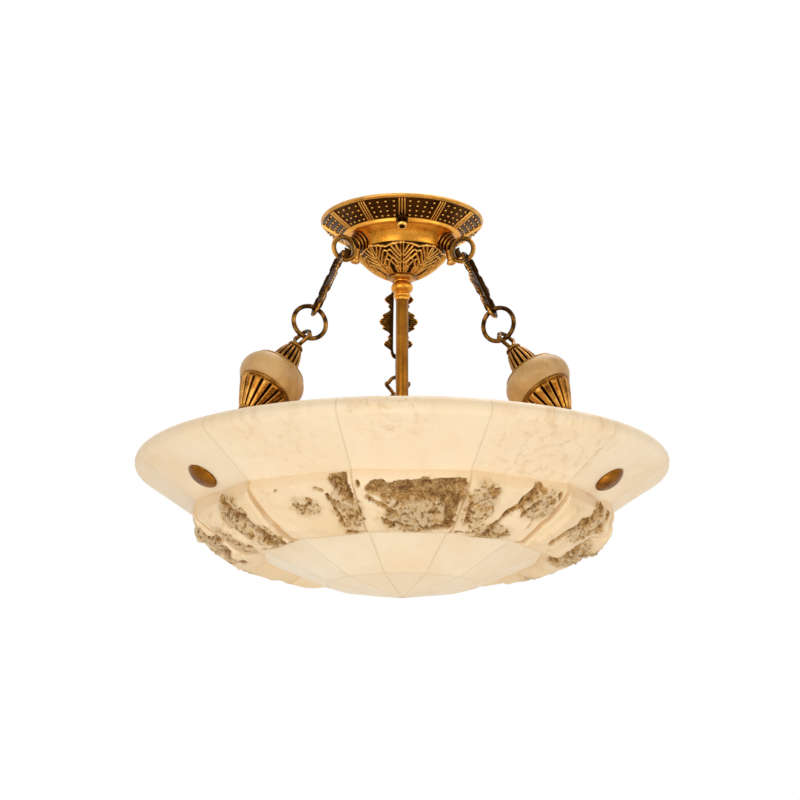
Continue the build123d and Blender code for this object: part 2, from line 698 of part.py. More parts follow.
def link_leaves(side):
    """Thick leaves on one rail of a link, tapering to both faces: one large, two small."""
    rail = SLOT_HALF_WIDTH + 0.6
    upper = ((rail, 9.0), (12.0, 8.0), (15.2, 4.4))
    large = (*[(x, -y) for x, y in upper], (18.6, 0.0), *reversed(upper))
    small = ((rail, 17.0), (10.6, 17.6), (13.2, 22.4), (11.2, 26.0), (rail, 27.6))
    low = [(x, -y) for x, y in reversed(small)]
    leaves = []
    for points in (large, small, low):
        face = make_face(Polyline(*points, close=True))
        half = extrude(face, amount=LEAF_THICKNESS / 2, taper=LEAF_TAPER)
        leaves.append(Rot(0, 0, side) * fused([half, mirror(half, about=Plane.XY)]))
    return leaves


def cast_link():
    """Open link with leafed shoulders: one large pair at the middle, a small pair each side."""
    slot_top = LOOP_WIRE + LINK_GAP
    slot_end = LINK_REACH + RING_WIRE + LINK_GAP
    middle = (slot_end - slot_top) / 2
    half = (slot_end + slot_top) / 2
    tip = half + LINK_END
    stations = (
        (0.0, tip),
        (6.0, tip - 2.5),
        (9.5, tip - 9.0),
        (10.0, 27.0),
        (14.0, 22.0),
        (11.0, 16.5),
        (12.0, 9.0),
        (20.0, 0.0),
    )
    right = list(stations)
    low_right = [(x, -y) for x, y in reversed(stations[:-1])]
    low_left = [(-x, -y) for x, y in stations[1:]]
    left = [(-x, y) for x, y in reversed(stations[1:-1])]
    border = Spline(*(right + low_right + low_left + left), periodic=True)
    slot = (
        (0.0, half),
        (4.2, half - 1.6),
        (SLOT_HALF_WIDTH, half - 6.0),
        (SLOT_HALF_WIDTH, 0.0),
        (SLOT_HALF_WIDTH, -half + 6.0),
        (4.2, -half + 1.6),
    )
    mirrored = [(-x, -y) for x, y in slot]
    opening = make_face(Polyline(*slot, *mirrored, close=True))
    plate = extrude(make_face(border) - opening, amount=LINK_THICKNESS / 2, both=True)
    leaves = [leaf for side in (0, 180) for leaf in link_leaves(side)]
    body = fused([plate, *leaves])
    upright = Plane.XZ * body
    centre = (HOOK_WIRE[0] + CHAIN_DOWN[0] * middle, HOOK_WIRE[1] + CHAIN_DOWN[1] * middle)
    return along(centre, CHAIN_DOWN), Rot(0, 0, 90) * upright


def chain_ring():
    """Round ring, standing in the plane of the chain before its twist."""
    return along(RING_CENTRE, CHAIN_DOWN), Plane.XZ * Torus(RING_RADIUS, RING_WIRE)


def fluted(body, count, cutter):
    return body - [Rot(0, 0, index * 360.0 / count) * cutter for index in range(count)]


def finial_stone():
    edge = STONE_EDGE_RADIUS
    high = STONE_HALF_HEIGHT
    bore = HANGER_RADIUS + EASE
    lines = [
        ThreePointArc((edge, -high), (STONE_RADIUS, 0), (edge, high)),
        Line((edge, high), (bore, high)),
        Line((bore, high), (bore, -high)),
        Line((bore, -high), (edge, -high)),
    ]
    return lathe(Plane.XZ * make_face(lines))


def finial_cap():
    """Flange, fluted bell, collar and the upright eye."""
    seat = STONE_HALF_HEIGHT
    bell_low = seat + 3.5
    bell_high = bell_low + BELL_HEIGHT
    neck = bell_high + 5.0
    lines = [
        Line((0, seat), (STONE_EDGE_RADIUS, seat)),
        ThreePointArc((STONE_EDGE_RADIUS, seat), (STONE_EDGE_RADIUS - 0.4, seat + 1.6), (FLANGE_LIP, seat + 2.2)),
        ThreePointArc((FLANGE_LIP, seat + 2.2), (17.5, seat + 2.4), (BELL_BASE_RADIUS, bell_low)),
        ThreePointArc((BELL_BASE_RADIUS, bell_low), (11.6, bell_low + 12.5), (BELL_TOP_RADIUS, bell_high)),
        Line((BELL_TOP_RADIUS, bell_high), (BELL_TOP_RADIUS + 0.6, bell_high + 1.2)),
        Line((BELL_TOP_RADIUS + 0.6, bell_high + 1.2), (BELL_TOP_RADIUS + 0.6, bell_high + 3.2)),
        Line((BELL_TOP_RADIUS + 0.6, bell_high + 3.2), (5.0, neck)),
        Line((5.0, neck), (0, neck)),
        Line((0, neck), (0, seat)),
    ]
    body = lathe(Plane.XZ * make_face(lines))
    flute_low = Pos(BELL_BASE_RADIUS + 1.2, 0, bell_low)
    cutter = flute_low * Rot(0, -14, 0) * Pos(0, 0, BELL_HEIGHT / 2) * Cylinder(1.5, BELL_HEIGHT + 1)
    threaded = disc(HANGER_RADIUS, seat - 1, seat + 16)
    return fluted(body, BELL_FLUTES, cutter) - threaded, neck


def stirrup(neck):
    """Eye on the cap: arms that spread from the neck, closed by an arch over the ring."""
    arch_top = EYE_HEIGHT + RING_WIRE + EYE_BAR + EYE_GAP
    shoulder = neck + 10.0
    faces = []
    for grow, foot in ((EYE_BAR, neck - 1.5), (-EYE_BAR, neck + 1.0)):
        low = (3.6 + grow, foot)
        side = (EYE_HALF_WIDTH + grow, shoulder)
        high = (EYE_HALF_WIDTH - 2.4 + grow * 0.8, arch_top - 5.4)
        faces.append(
            make_face(
                [
                    Line((-low[0], foot), low),
                    ThreePointArc(low, (6.2 + grow, neck + 4.5), side),
                    Line(side, high),
                    ThreePointArc(high, (0, arch_top + grow), (-high[0], high[1])),
                    Line((-high[0], high[1]), (-side[0], side[1])),
                    ThreePointArc((-side[0], side[1]), (-6.2 - grow, neck + 4.5), (-low[0], foot)),
                ]
            )
        )
    bar = extrude(faces[0] - faces[1], amount=EYE_BAR, both=True)
    return Plane.YZ * bar


def finial_cup():
    """Gadrooned cup under the stone, running down to the rod."""
    seat = -STONE_HALF_HEIGHT
    low = seat - CUP_LENGTH
    bore = HANGER_RADIUS + EASE
    lines = [
        Line((bore, seat), (STONE_EDGE_RADIUS, seat)),
        ThreePointArc((STONE_EDGE_RADIUS, seat), (STONE_EDGE_RADIUS, seat - 2), (23.6, seat - 3)),
        ThreePointArc((23.6, seat - 3), (17.4, seat - 15), (CUP_END_RADIUS, low + 4)),
        Line((CUP_END_RADIUS, low + 4), (CUP_END_RADIUS, low)),
        Line((CUP_END_RADIUS, low), (bore, low)),
        Line((bore, low), (bore, seat)),
    ]
    body = lathe(Plane.XZ * make_face(lines))
    cutter = Pos(25.2, 0, seat - 4) * Rot(0, 29, 0) * Pos(0, 0, -13) * Cylinder(2.1, 28)
    return fluted(body, CUP_FLUTES, cutter)


def hanger_rod():
    return disc(HANGER_RADIUS, -WALL_REACH - 3.0, STONE_HALF_HEIGHT + 15)


def inner_nut():
    """Flange nut against the inner seat of the panel."""
    low = -WALL_REACH + SEAT_WALL
    flange = tube(SEAT_RADIUS - 0.5, HANGER_RADIUS, low, low + 2)
    return fused([flange, hex_nut(INNER_NUT_FLATS, HANGER_RADIUS, low + 2, low + 8)])


def cap_nut():
    """Low domed nut on the ground outer seat."""
    seat = -WALL_REACH
    tip = (TIP_FLAT, seat - NUT_DOME)
    lines = [
        Line((0, seat - 3.0), (HANGER_RADIUS, seat - 3.0)),
        Line((HANGER_RADIUS, seat - 3.0), (HANGER_RADIUS, seat)),
        Line((HANGER_RADIUS, seat), (NUT_RADIUS, seat)),
        Line((NUT_RADIUS, seat), (NUT_RADIUS, seat - 1.5)),
        ThreePointArc((NUT_RADIUS, seat - 1.5), (NUT_RADIUS * 0.6, seat - 0.8 * NUT_DOME), tip),
        Line(tip, (0, seat - NUT_DOME)),
        Line((0, seat - NUT_DOME), (0, seat - 3.0)),
    ]
    return lathe(Plane.XZ * make_face(lines))


def build_suspension():
    axis = along(BALL, FINIAL_UP)
    link_place, link = cast_link()
    ring_place, ring = chain_ring()
    cap, neck = finial_cap()
    eye = stirrup(neck)
    stone = axis * finial_stone()
    cup = axis * finial_cup()
    for side, azimuth in SUSPENSION.items():
        twist = Rot(0, 0, CHAIN_TWIST[side])
        save(f"chain_link_{side}", turned(link_place * twist * link, azimuth))
        save(f"chain_ring_{side}", turned(ring_place * twist * ring, azimuth))
        whole = fused([cap, Rot(0, 0, EYE_TURN[side]) * eye])
        save(f"finial_cap_{side}", turned(axis * whole, azimuth))
        save(f"finial_stone_{side}", turned(stone, azimuth))
        save(f"finial_cup_{side}", turned(cup, azimuth))
    save("hanger_rods", *[turned(axis * hanger_rod(), azimuth) for azimuth in SUSPENSION.values()])
    save("inner_nuts", *[turned(axis * inner_nut(), azimuth) for azimuth in SUSPENSION.values()])
    save("cap_nuts", *[turned(axis * cap_nut(), azimuth) for azimuth in SUSPENSION.values()])


os.makedirs("parts", exist_ok=True)
build_ceiling_unit()
build_stem_and_lamps()
build_suspension()
build_bowl()
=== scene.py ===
import json
from functools import partial, reduce
from math import atan2, cos, degrees, exp, hypot, pi, radians, sin

import bpy
from mathutils import Matrix, Vector, noise


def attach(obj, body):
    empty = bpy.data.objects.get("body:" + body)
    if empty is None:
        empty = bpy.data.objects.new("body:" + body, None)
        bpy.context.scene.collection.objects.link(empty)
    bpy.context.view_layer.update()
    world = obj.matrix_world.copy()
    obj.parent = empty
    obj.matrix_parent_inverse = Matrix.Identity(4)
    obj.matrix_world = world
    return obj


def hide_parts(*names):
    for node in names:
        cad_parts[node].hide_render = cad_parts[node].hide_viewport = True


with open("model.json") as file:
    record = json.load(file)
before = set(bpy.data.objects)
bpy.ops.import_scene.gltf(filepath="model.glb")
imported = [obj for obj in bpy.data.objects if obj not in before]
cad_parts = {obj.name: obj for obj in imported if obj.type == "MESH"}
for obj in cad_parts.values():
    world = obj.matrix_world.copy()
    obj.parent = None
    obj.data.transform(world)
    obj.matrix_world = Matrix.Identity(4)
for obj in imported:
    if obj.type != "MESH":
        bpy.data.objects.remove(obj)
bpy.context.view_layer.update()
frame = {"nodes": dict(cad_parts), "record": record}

# Alabaster bowl pendant. Lengths below are millimetres.
# Azimuths run from the front (-Y) towards +X.
MM = 0.001
SUSPENSION = {"left": -60.0, "right": 60.0, "back": 180.0}
LAMPS = {"front": 0.0, "right": 120.0, "left": 240.0}
SLOT_OF = {row["node"]: row["material_slot"] for row in frame["record"]["subparts"]}
BODIES = frame["record"]["behaviour"]["bodies"]
BODY_OF = {node: body for body, nodes in BODIES.items() for node in nodes}


def reach_of(start, end):
    """Length and direction from one (radius, height) point to another."""
    run = (end[0] - start[0], end[1] - start[1])
    length = hypot(*run)
    return length, (run[0] / length, run[1] / length)


# Bowl
SEGMENTS = 12
STEP = 360.0 / SEGMENTS
HALF = STEP / 2
HALF_COS = cos(radians(HALF))
HALF_SIN = sin(radians(HALF))
CREASE = (196.0, -290.0)
CREASE_INNER = (180.0, -290.0)
LOWER = (132.0, -331.5)
LOWER_INNER = (132.0, -320.5)
BASE = (71.0, -358.0)
APEX_Z = -370.0
WALL_RISE = 11.0
RIM_Z = -240.0
RIM_INNER_RADIUS = 238.0
RIM_EDGE = (243.5, -240.0)
RIM_NOSE = (249.8, -247.4)
NOSE_END = (245.0, -256.0)
BLOCK_BULGES = (9.0, 12.0, 17.0, 20.0, 20.0, 18.0, 19.0, 20.0, 19.0, 20.0, 17.0, 11.0)
HANGER_AZIMUTHS = (60.0, 180.0, 300.0)
# Marks in the honed slabs: place, reach and the width over which each fades
MOTTLED = ((-24.0, -243.0, -250.0), 24.0, 22.0)
MOTTLED_BACK = ((150.0, 175.0, -262.0), 30.0, 40.0)
STREAKED = ((122.0, -192.0, -264.0), 44.0, 34.0)
STREAKED_LEFT = ((-112.0, -200.0, -258.0), 30.0, 44.0)
STREAKED_BACK = ((-120.0, 190.0, -264.0), 44.0, 40.0)

# Canopy
CANOPY_TURN = -2.3
BAND_OUTER = (76.8, -5.5)
RIM_INSIDE = 74.5
BAND_INNER = (56.5, -18.5)
BAND_LENGTH, BAND_ALONG = reach_of(BAND_INNER, BAND_OUTER)
BAND_OUT = (BAND_ALONG[1], -BAND_ALONG[0])
SCREW_SEAT = (57.8, BAND_INNER[1] + (57.8 - BAND_INNER[0]) * BAND_ALONG[1] / BAND_ALONG[0])
KNOB_LENGTH = 14.0
KNOB_SEAT = 2.1

# Stem and lamps
STEM_RADIUS = 6.0
STEM_BORE = 5.1
STEM_TOP = -81.0
HUB_TOP = -250.0
LAMP_Z = -266.0
HOLDER_START = 21.0

# Chains
HOOK_WIRE = (70.0, -50.5)
EYE_WIRE = (108.5, -134.0)
BALL = (141.0, -181.0)
CHAIN_TWIST = {"left": 10.0, "right": 3.0, "back": 0.0}
EYE_TURN = {"left": 8.0, "right": -12.0, "back": 0.0}
CHAIN_LENGTH, CHAIN_DOWN = reach_of(HOOK_WIRE, EYE_WIRE)
LOOP_RADIUS = 11.25
LOOP_WIRE = 2.25
RING_RADIUS = 16.0
RING_WIRE = 2.15
LINK_GAP = 1.6
LINK_END = 5.0
LINK_THICKNESS = 3.8
LINK_REACH = CHAIN_LENGTH - 2 * RING_RADIUS
LEAF_THICKNESS = 9.2
EYE_BAR = 1.9
EYE_HALF_WIDTH = 10.6
EYE_GAP = 2.3
EYE_HEIGHT, FINIAL_UP = reach_of(BALL, EYE_WIRE)
STONE_HALF = 12.0
STONE_EDGE = 26.0
STONE_RADIUS = 31.5
BELL_HEIGHT = 25.0
CUP_LOW = -45.0
ROD_BORE = 4.3
WALL_REACH = 118.4
NUT_RADIUS = 14.5
NUT_DOME = 6.0
SPOT_RADIUS = 15.5


# ---------------------------------------------------------------- workbench

def leave_edit():
    bpy.ops.object.mode_set(mode="OBJECT")


def deselect():
    active = bpy.context.view_layer.objects.active
    if active and active.mode != "OBJECT":
        leave_edit()
    bpy.ops.object.select_all(action="DESELECT")


def only(piece):
    deselect()
    piece.select_set(True)
    bpy.context.view_layer.objects.active = piece


def edit(piece):
    only(piece)
    bpy.ops.object.mode_set(mode="EDIT")
    bpy.ops.mesh.select_all(action="SELECT")


def tidy(piece, gap=1e-6):
    """Merge doubles and turn every face outwards."""
    edit(piece)
    bpy.ops.mesh.remove_doubles(threshold=gap)
    bpy.ops.mesh.normals_make_consistent(inside=False)
    leave_edit()
    return piece


def smooth(piece, angle=40.0):
    only(piece)
    bpy.ops.object.shade_smooth_by_angle(angle=radians(angle))
    return piece


def bevelled(piece, width, segments):
    modifier = piece.modifiers.new("edge", "BEVEL")
    modifier.width = width * MM
    modifier.segments = segments
    modifier.limit_method = "ANGLE"
    modifier.angle_limit = radians(30.0)
    only(piece)
    bpy.ops.object.modifier_apply(modifier=modifier.name)


def begin(name, primitive, **settings):
    """Start a piece from a primitive at its size and place."""
    deselect()
    primitive(**settings)
    piece = bpy.context.object
    piece.name = name
    return piece


def drop(*pieces):
    for piece in pieces:
        bpy.data.objects.remove(piece)


def joined(name, pieces):
    only(pieces[0])
    for piece in pieces[1:]:
        piece.select_set(True)
    bpy.ops.object.join()
    pieces[0].name = name
    return pieces[0]


def copied(piece, name, matrix):
    twin = piece.copy()
    twin.data = piece.data.copy()
    twin.name = name
    twin.data.transform(matrix)
    bpy.context.scene.collection.objects.link(twin)
    return twin


def turn(azimuth):
    """Turn about the lamp's axis that carries +X to an azimuth."""
    return Matrix.Rotation(radians(azimuth - 90.0), 4, "Z")


UPRIGHT = Matrix.Rotation(pi / 2, 4, "X")
QUARTER = Matrix.Rotation(pi / 2, 4, "Z")


def along(origin, direction):
    """Placement in the plane of one chain: the piece's +Z runs along direction."""
    angle = atan2(direction[0], direction[1])
    place = Matrix.Translation((origin[0] * MM, 0, origin[1] * MM))
    return place @ Matrix.Rotation(angle, 4, "Y")


def beyond(point, direction, reach):
    return tuple(p + d * reach for p, d in zip(point, direction))


def arc(first, middle, last, count):
    """Points of the arc through three (radius, height) points, its first one left out."""
    ax, ay = first
    bx, by = middle
    cx, cy = last
    d = 2 * (ax * (by - cy) + bx * (cy - ay) + cx * (ay - by))
    a2, b2, c2 = ax * ax + ay * ay, bx * bx + by * by, cx * cx + cy * cy
    ux = (a2 * (by - cy) + b2 * (cy - ay) + c2 * (ay - by)) / d
    uy = (a2 * (cx - bx) + b2 * (ax - cx) + c2 * (bx - ax)) / d
    radius = hypot(ax - ux, ay - uy)
    start = atan2(ay - uy, ax - ux)
    mid = (atan2(by - uy, bx - ux) - start) % (2 * pi)
    end = (atan2(cy - uy, cx - ux) - start) % (2 * pi)
    if mid > end:
        end -= 2 * pi
    angles = [start + end * (i + 1) / count for i in range(count)]
    return [(ux + radius * cos(a), uy + radius * sin(a)) for a in angles]


def drawn(*steps):
    """Outline of points and of arcs, each given by its (middle, end, count) from the last point."""
    points = []
    for step in steps:
        points += [step] if len(step) == 2 else arc(here, *step)
        here = step if len(step) == 2 else step[1]
    return points


def lathe(name, outline, steps, corner=0.0):
    """Turn a piece about Z: a line is drawn out through (radius, height) points and spun."""
    points = [(radius * MM, 0, height * MM) for radius, height in outline]
    piece = begin(name, bpy.ops.mesh.primitive_plane_add, size=0.01, location=points[0])
    bpy.ops.object.transform_apply(location=True, rotation=True, scale=True)
    edit(piece)
    bpy.ops.mesh.merge(type="CENTER")
    for here, there in zip(points, points[1:]):
        move = [b - a for a, b in zip(here, there)]
        bpy.ops.mesh.extrude_region_move(TRANSFORM_OT_translate={"value": move})
    bpy.ops.mesh.select_all(action="SELECT")
    bpy.ops.mesh.remove_doubles(threshold=1e-6)
    if corner:
        bpy.ops.mesh.bevel(offset=corner * MM, segments=2, affect="VERTICES")
        bpy.ops.mesh.select_all(action="SELECT")
    bpy.ops.mesh.spin(steps=steps, angle=2 * pi, center=(0, 0, 0), axis=(0, 0, 1))
    return tidy(piece)


def reshape(piece, place):
    """Move every point of a piece to where place(point) puts it, in millimetres."""
    for vertex in piece.data.vertices:
        vertex.co = Vector(place(vertex.co / MM)) * MM
    piece.data.update()
    return piece


def emboss(piece, height):
    """Raise a surface along its normals: height(point, normal) gives the rise and the patina value,
    which also carries painted shade and painted highlights.
    """
    moves = [(v.co.copy(), v.normal.copy()) for v in piece.data.vertices]
    tones = []
    for vertex, (point, normal) in zip(piece.data.vertices, moves):
        rise, tone = height(point / MM, normal)
        vertex.co = point + normal * (rise * MM)
        tones.append(tone)
    piece.data.update()
    return write_patina_and_shading(piece, tones)


def write_patina_and_shading(piece, values):
    """Keep how dark (-1) or bright (1) each point of a brass piece is: patina and rubbed wear, and
    on many pieces painted shade and painted highlights.
    """
    attribute = piece.data.attributes.new("patina_and_shading", "FLOAT", "POINT")
    attribute.data.foreach_set("value", values)
    return piece


def bell(x, width):
    return exp(-((x / width) ** 2))


def near_line(point, start, end):
    """Distance from a line between two points, and the share along it."""
    dx, dy = end[0] - start[0], end[1] - start[1]
    px, py = point[0] - start[0], point[1] - start[1]
    share = min(1.0, max(0.0, (px * dx + py * dy) / (dx * dx + dy * dy)))
    return hypot(px - dx * share, py - dy * share), share


def step_up(low, high, x):
    t = min(1.0, max(0.0, (x - low) / (high - low)))
    return t * t * (3 - 2 * t)


# ---------------------------------------------------------------- finishes

def fill(node, **inputs):
    """Set or link sockets, each named with _ for a space, or by i and its number."""
    for key, value in inputs.items():
        socket = node.inputs[int(key[1:]) if key[1:].isdigit() else key.replace("_", " ")]
        if isinstance(value, bpy.types.NodeSocket):
            node.id_data.links.new(value, socket)
        elif socket.type == "RGBA":
            socket.default_value = (*value, 1.0)
        else:
            socket.default_value = value
    return node


def knot(near, kind, settings=None, **inputs):
    """One more node in the tree that a node or socket belongs to."""
    node = near.id_data.nodes.new("ShaderNode" + kind)
    for key, value in (settings or {}).items():
        setattr(node, key, value)
    return fill(node, **inputs)


def sheet_of(name):
    """A new material, its shader and the place on the object."""
    material = bpy.data.materials.new(name)
    material.use_nodes = True
    shader = material.node_tree.nodes["Principled BSDF"]
    return material, shader, knot(shader, "TexCoord").outputs["Object"]


def painted(near, name):
    """A value kept on the points of a mesh."""
    return knot(near, "Attribute", {"attribute_name": name}).outputs["Fac"]


def maths(operation, *values):
    """Math node on sockets and numbers."""
    near = next(value for value in values if isinstance(value, bpy.types.NodeSocket))
    inputs = {f"i{index}": value for index, value in enumerate(values)}
    return knot(near, "Math", {"operation": operation}, **inputs).outputs[0]


def times(*values):
    return reduce(partial(maths, "MULTIPLY"), values)


def plus(first, second):
    return maths("ADD", first, second)


def minus(first, second):
    return maths("SUBTRACT", first, second)


def most(*values):
    return reduce(partial(maths, "MAXIMUM"), values)


def grain(where, scale, detail=4.0, roughness=0.55, distortion=0.0):
    sockets = {"Scale": scale, "Detail": detail, "Roughness": roughness, "Distortion": distortion}
    return knot(where, "TexNoise", None, Vector=where, **sockets).outputs["Fac"]


def cells(where, scale):
    return knot(where, "TexVoronoi", {"feature": "F1"}, Vector=where, Scale=scale).outputs


def ramp(value, *stops):
    """Colour ramp from (position, colour) stops."""
    node = knot(value, "ValToRGB", None, Fac=value)
    band = node.color_ramp
    while len(band.elements) < len(stops):
        band.elements.new(1.0)
    for element, (position, colour) in zip(band.elements, stops):
        element.position = position
        element.color = (*colour, 1.0)
    return node.outputs["Color"]


def level(value, low, high, to_low=0.0, to_high=1.0):
    """Straight rescaling of a value, held inside its ends."""
    ends = {"From_Min": low, "From_Max": high, "To_Min": to_low, "To_Max": to_high}
    return knot(value, "MapRange", {"clamp": True}, Value=value, **ends).outputs["Result"]


def blend(share, first, second):
    return knot(share, "Mix", {"data_type": "RGBA"}, i0=share, i6=first, i7=second).outputs[2]


def tinted(body, mask, share, colour):
    """Lay a share of a colour over the body where the mask is."""
    return blend(times(mask, share), body, colour)


def relief(shader, height, distance, strength=1.0):
    bump = knot(shader, "Bump", None, Height=height, Distance=distance, Strength=strength)
    fill(shader, Normal=bump.outputs["Normal"])


def seam_lines(where):
    """1 on the glued seams between the panels of the bowl, fading to 0 either side."""
    x, y, z = knot(where, "SeparateXYZ", None, Vector=where).outputs
    turns = maths("DIVIDE", maths("ARCTAN2", x, times(y, -1.0)), radians(STEP))
    part = minus(maths("FRACT", plus(turns, 0.5)), 0.5)
    radius = maths("SQRT", plus(maths("POWER", x, 2.0), maths("POWER", y, 2.0)))
    sideways = times(minus(0.5, maths("ABSOLUTE", part)), times(radius, radians(STEP)))
    wander = times(minus(grain(where, 30.0, 2.0), 0.5), 0.0005)
    radial = level(maths("ABSOLUTE", plus(sideways, wander)), 0.0002, 0.0011, 1.0, 0.0)
    flat = times(radius, maths("COSINE", times(part, radians(STEP))))
    from_base = maths("ABSOLUTE", minus(flat, BASE[0] * cos(radians(HALF)) * MM))
    level_line = level(from_base, 0.0002, 0.0010, 0.7, 0.0)
    return most(radial, times(level_line, level(z, -0.352, -0.347, 1.0, 0.0)))


def patch_at(where, centre, reach, soft):
    """1 within reach millimetres of a place, fading out over soft."""
    spot = tuple(c * MM for c in centre)
    away = knot(where, "VectorMath", {"operation": "DISTANCE"}, i0=where, i1=spot).outputs["Value"]
    return level(away, reach * MM, (reach + soft) * MM, 1.0, 0.0)


CREAM = (0.945, 0.725, 0.465)
PALE = (0.97, 0.81, 0.585)
PEACH = (0.915, 0.675, 0.405)
HONEY = (0.82, 0.55, 0.27)
AMBER = (0.86, 0.55, 0.23)
TAN = (0.50, 0.28, 0.095)
UMBER = (0.13, 0.052, 0.012)
BLOT = (0.70, 0.43, 0.17)
STREAK = (0.74, 0.47, 0.20)
VEIN = (0.62, 0.40, 0.19)
GLUE = (0.72, 0.45, 0.18)
DULL_GLUE = (0.50, 0.31, 0.13)
PIT = (0.24, 0.12, 0.035)
STREAK_LEAN = 38.0


def alabaster():
    """Honed slabs: soft clouds, mottled patches and fine slanting streaks near the rim."""
    material, shader, where = sheet_of("honed_alabaster")
    fine = grain(where, 38.0, 6.0, 0.65, 0.3)
    body = ramp(grain(where, 4.5, 4.0, 0.55, 0.5), (0.30, PEACH), (0.47, CREAM), (0.68, PALE))
    body = tinted(body, level(fine, 0.36, 0.66), 0.16, HONEY)
    body = tinted(body, level(grain(where, 16.0, 6.0, 0.68, 1.8), 0.50, 0.60), 0.22, PALE)
    mottled = most(patch_at(where, *MOTTLED), patch_at(where, *MOTTLED_BACK))
    blots = times(level(grain(where, 85.0, 8.0, 0.72, 0.5), 0.50, 0.66), mottled)
    body = tinted(body, blots, 0.55, BLOT)
    lean = {"Rotation": (0.0, radians(STREAK_LEAN), 0.0), "Scale": (1.0, 1.0, 0.13)}
    slanted = knot(where, "Mapping", None, Vector=where, **lean).outputs[0]
    hair = level(grain(slanted, 130.0, 4.0, 0.6, 0.15), 0.50, 0.64)
    streaked = most(patch_at(where, *STREAKED), patch_at(where, *STREAKED_BACK))
    streaked = most(streaked, times(patch_at(where, *STREAKED_LEFT), 0.6))
    body = tinted(body, times(hair, streaked), 0.42, STREAK)
    swirl = maths("ABSOLUTE", minus(grain(where, 9.0, 8.0, 0.7, 1.6), 0.5))
    here_and_there = level(grain(where, 6.5, 2.0), 0.50, 0.64)
    body = tinted(body, times(level(swirl, 0.0, 0.014, 1.0, 0.0), here_and_there), 0.22, VEIN)
    seam = seam_lines(where)
    body = tinted(body, seam, 0.42, GLUE)
    fill(
        shader, Base_Color=body, Roughness=level(fine, 0.3, 0.7, 0.36, 0.52),
        Subsurface_Weight=0.12,
        Subsurface_Radius=(1.0, 0.7, 0.4), Subsurface_Scale=0.008,
    )
    sunk = plus(times(blots, 0.25), times(seam, 0.15))
    relief(shader, minus(grain(where, 22.0, 3.0), sunk), 0.0008, 0.6)
    return material


def split_alabaster():
    """Split faces: cream where smooth, crumbly tan where worn, dark and grainy in the hollows,
    their brown deepened with painted shade.
    """
    material, shader, where = sheet_of("split_alabaster")
    hollow = painted(shader, "hollow")
    coarse = painted(shader, "coarse")
    crumb = grain(where, 130.0, 6.0, 0.72, 0.5)
    sand = grain(where, 520.0, 4.0, 0.75)
    blotch = minus(grain(where, 55.0, 5.0, 0.62, 0.9), 0.5)
    body = ramp(grain(where, 12.0, 4.0), (0.35, PEACH), (0.65, CREAM))
    body = tinted(body, level(grain(where, 26.0, 3.0), 0.52, 0.66), 0.22, HONEY)
    tone_mark = plus(coarse, times(blotch, 1.8))
    body = tinted(body, level(tone_mark, 0.12, 0.60), 0.36, AMBER)
    flake = level(grain(where, 210.0, 5.0, 0.7), 0.50, 0.60)
    body = tinted(body, times(flake, level(tone_mark, 0.30, 0.70)), 0.30, TAN)
    # The hollow attribute gives the split hollows the stone's brown, deepened there with painted
    # shade.
    dark = ramp(
        plus(times(crumb, 0.65), times(sand, 0.35)),
        (0.37, UMBER), (0.45, (0.36, 0.165, 0.040)), (0.51, (0.62, 0.335, 0.095)),
        (0.61, (0.93, 0.62, 0.29)),
    )
    depth = plus(hollow, times(blotch, 0.9))
    body = tinted(body, level(depth, 0.10, 0.45), 0.96, dark)
    # Painted shade in the deepest hollows.
    body = tinted(body, level(depth, 0.85, 1.25), 0.40, UMBER)
    pits = level(cells(where, 150.0)["Distance"], 0.10, 0.26, 1.0, 0.0)
    pits = times(pits, level(tone_mark, 0.35, 0.70))
    body = tinted(body, pits, 0.80, PIT)
    body = tinted(body, seam_lines(where), 0.35, DULL_GLUE)
    dry = level(crumb, 0.3, 0.7, 0.66, 0.9)
    fill(shader, Base_Color=body, Roughness=dry, Specular_IOR_Level=0.25)
    rough = times(plus(crumb, times(sand, 0.4)), plus(most(coarse, hollow), 0.12))
    relief(shader, minus(rough, times(pits, 0.5)), 0.0045, 0.9)
    return material


def brass(name, dark, middle, bright, crevice=0.004):
    """Cast brass: dark patina with painted shade in the hollows, rubbed bright with painted
    highlights on the crests.
    """
    material, shader, where = sheet_of(name)
    fleck = grain(where, 700.0, 3.0, 0.7)
    tone = plus(times(grain(where, 70.0, 4.0, 0.6), 0.7), times(fleck, 0.3))
    body = ramp(tone, (0.34, dark), (0.46, middle), (0.74, bright))
    # Ambient occlusion darkens the crevices: patina together with painted shade.
    nook = knot(shader, "AmbientOcclusion", {"samples": 8}, Distance=crevice).outputs["AO"]
    body = blend(level(nook, 0.25, 0.85), dark, body)
    # Pointiness brightens sharp crests: rubbed wear together with a painted highlight.
    crest = knot(shader, "NewGeometry").outputs["Pointiness"]
    body = tinted(body, level(crest, 0.515, 0.60), 0.7, bright)
    # The per-point patina value plus flecks: below zero it lays patina and painted shade, above
    # zero rubbed brass and painted highlights.
    tone_mark = plus(painted(shader, "patina_and_shading"), times(minus(fleck, 0.5), 0.5))
    body = tinted(body, level(tone_mark, -0.10, -0.75), 0.98, dark)
    body = tinted(body, level(tone_mark, 0.2, 0.9), 0.9, bright)
    fill(shader, Base_Color=body, Roughness=level(fleck, 0.3, 0.7, 0.24, 0.42), Metallic=1.0)
    relief(shader, fleck, 0.00025, 0.35)
    return material


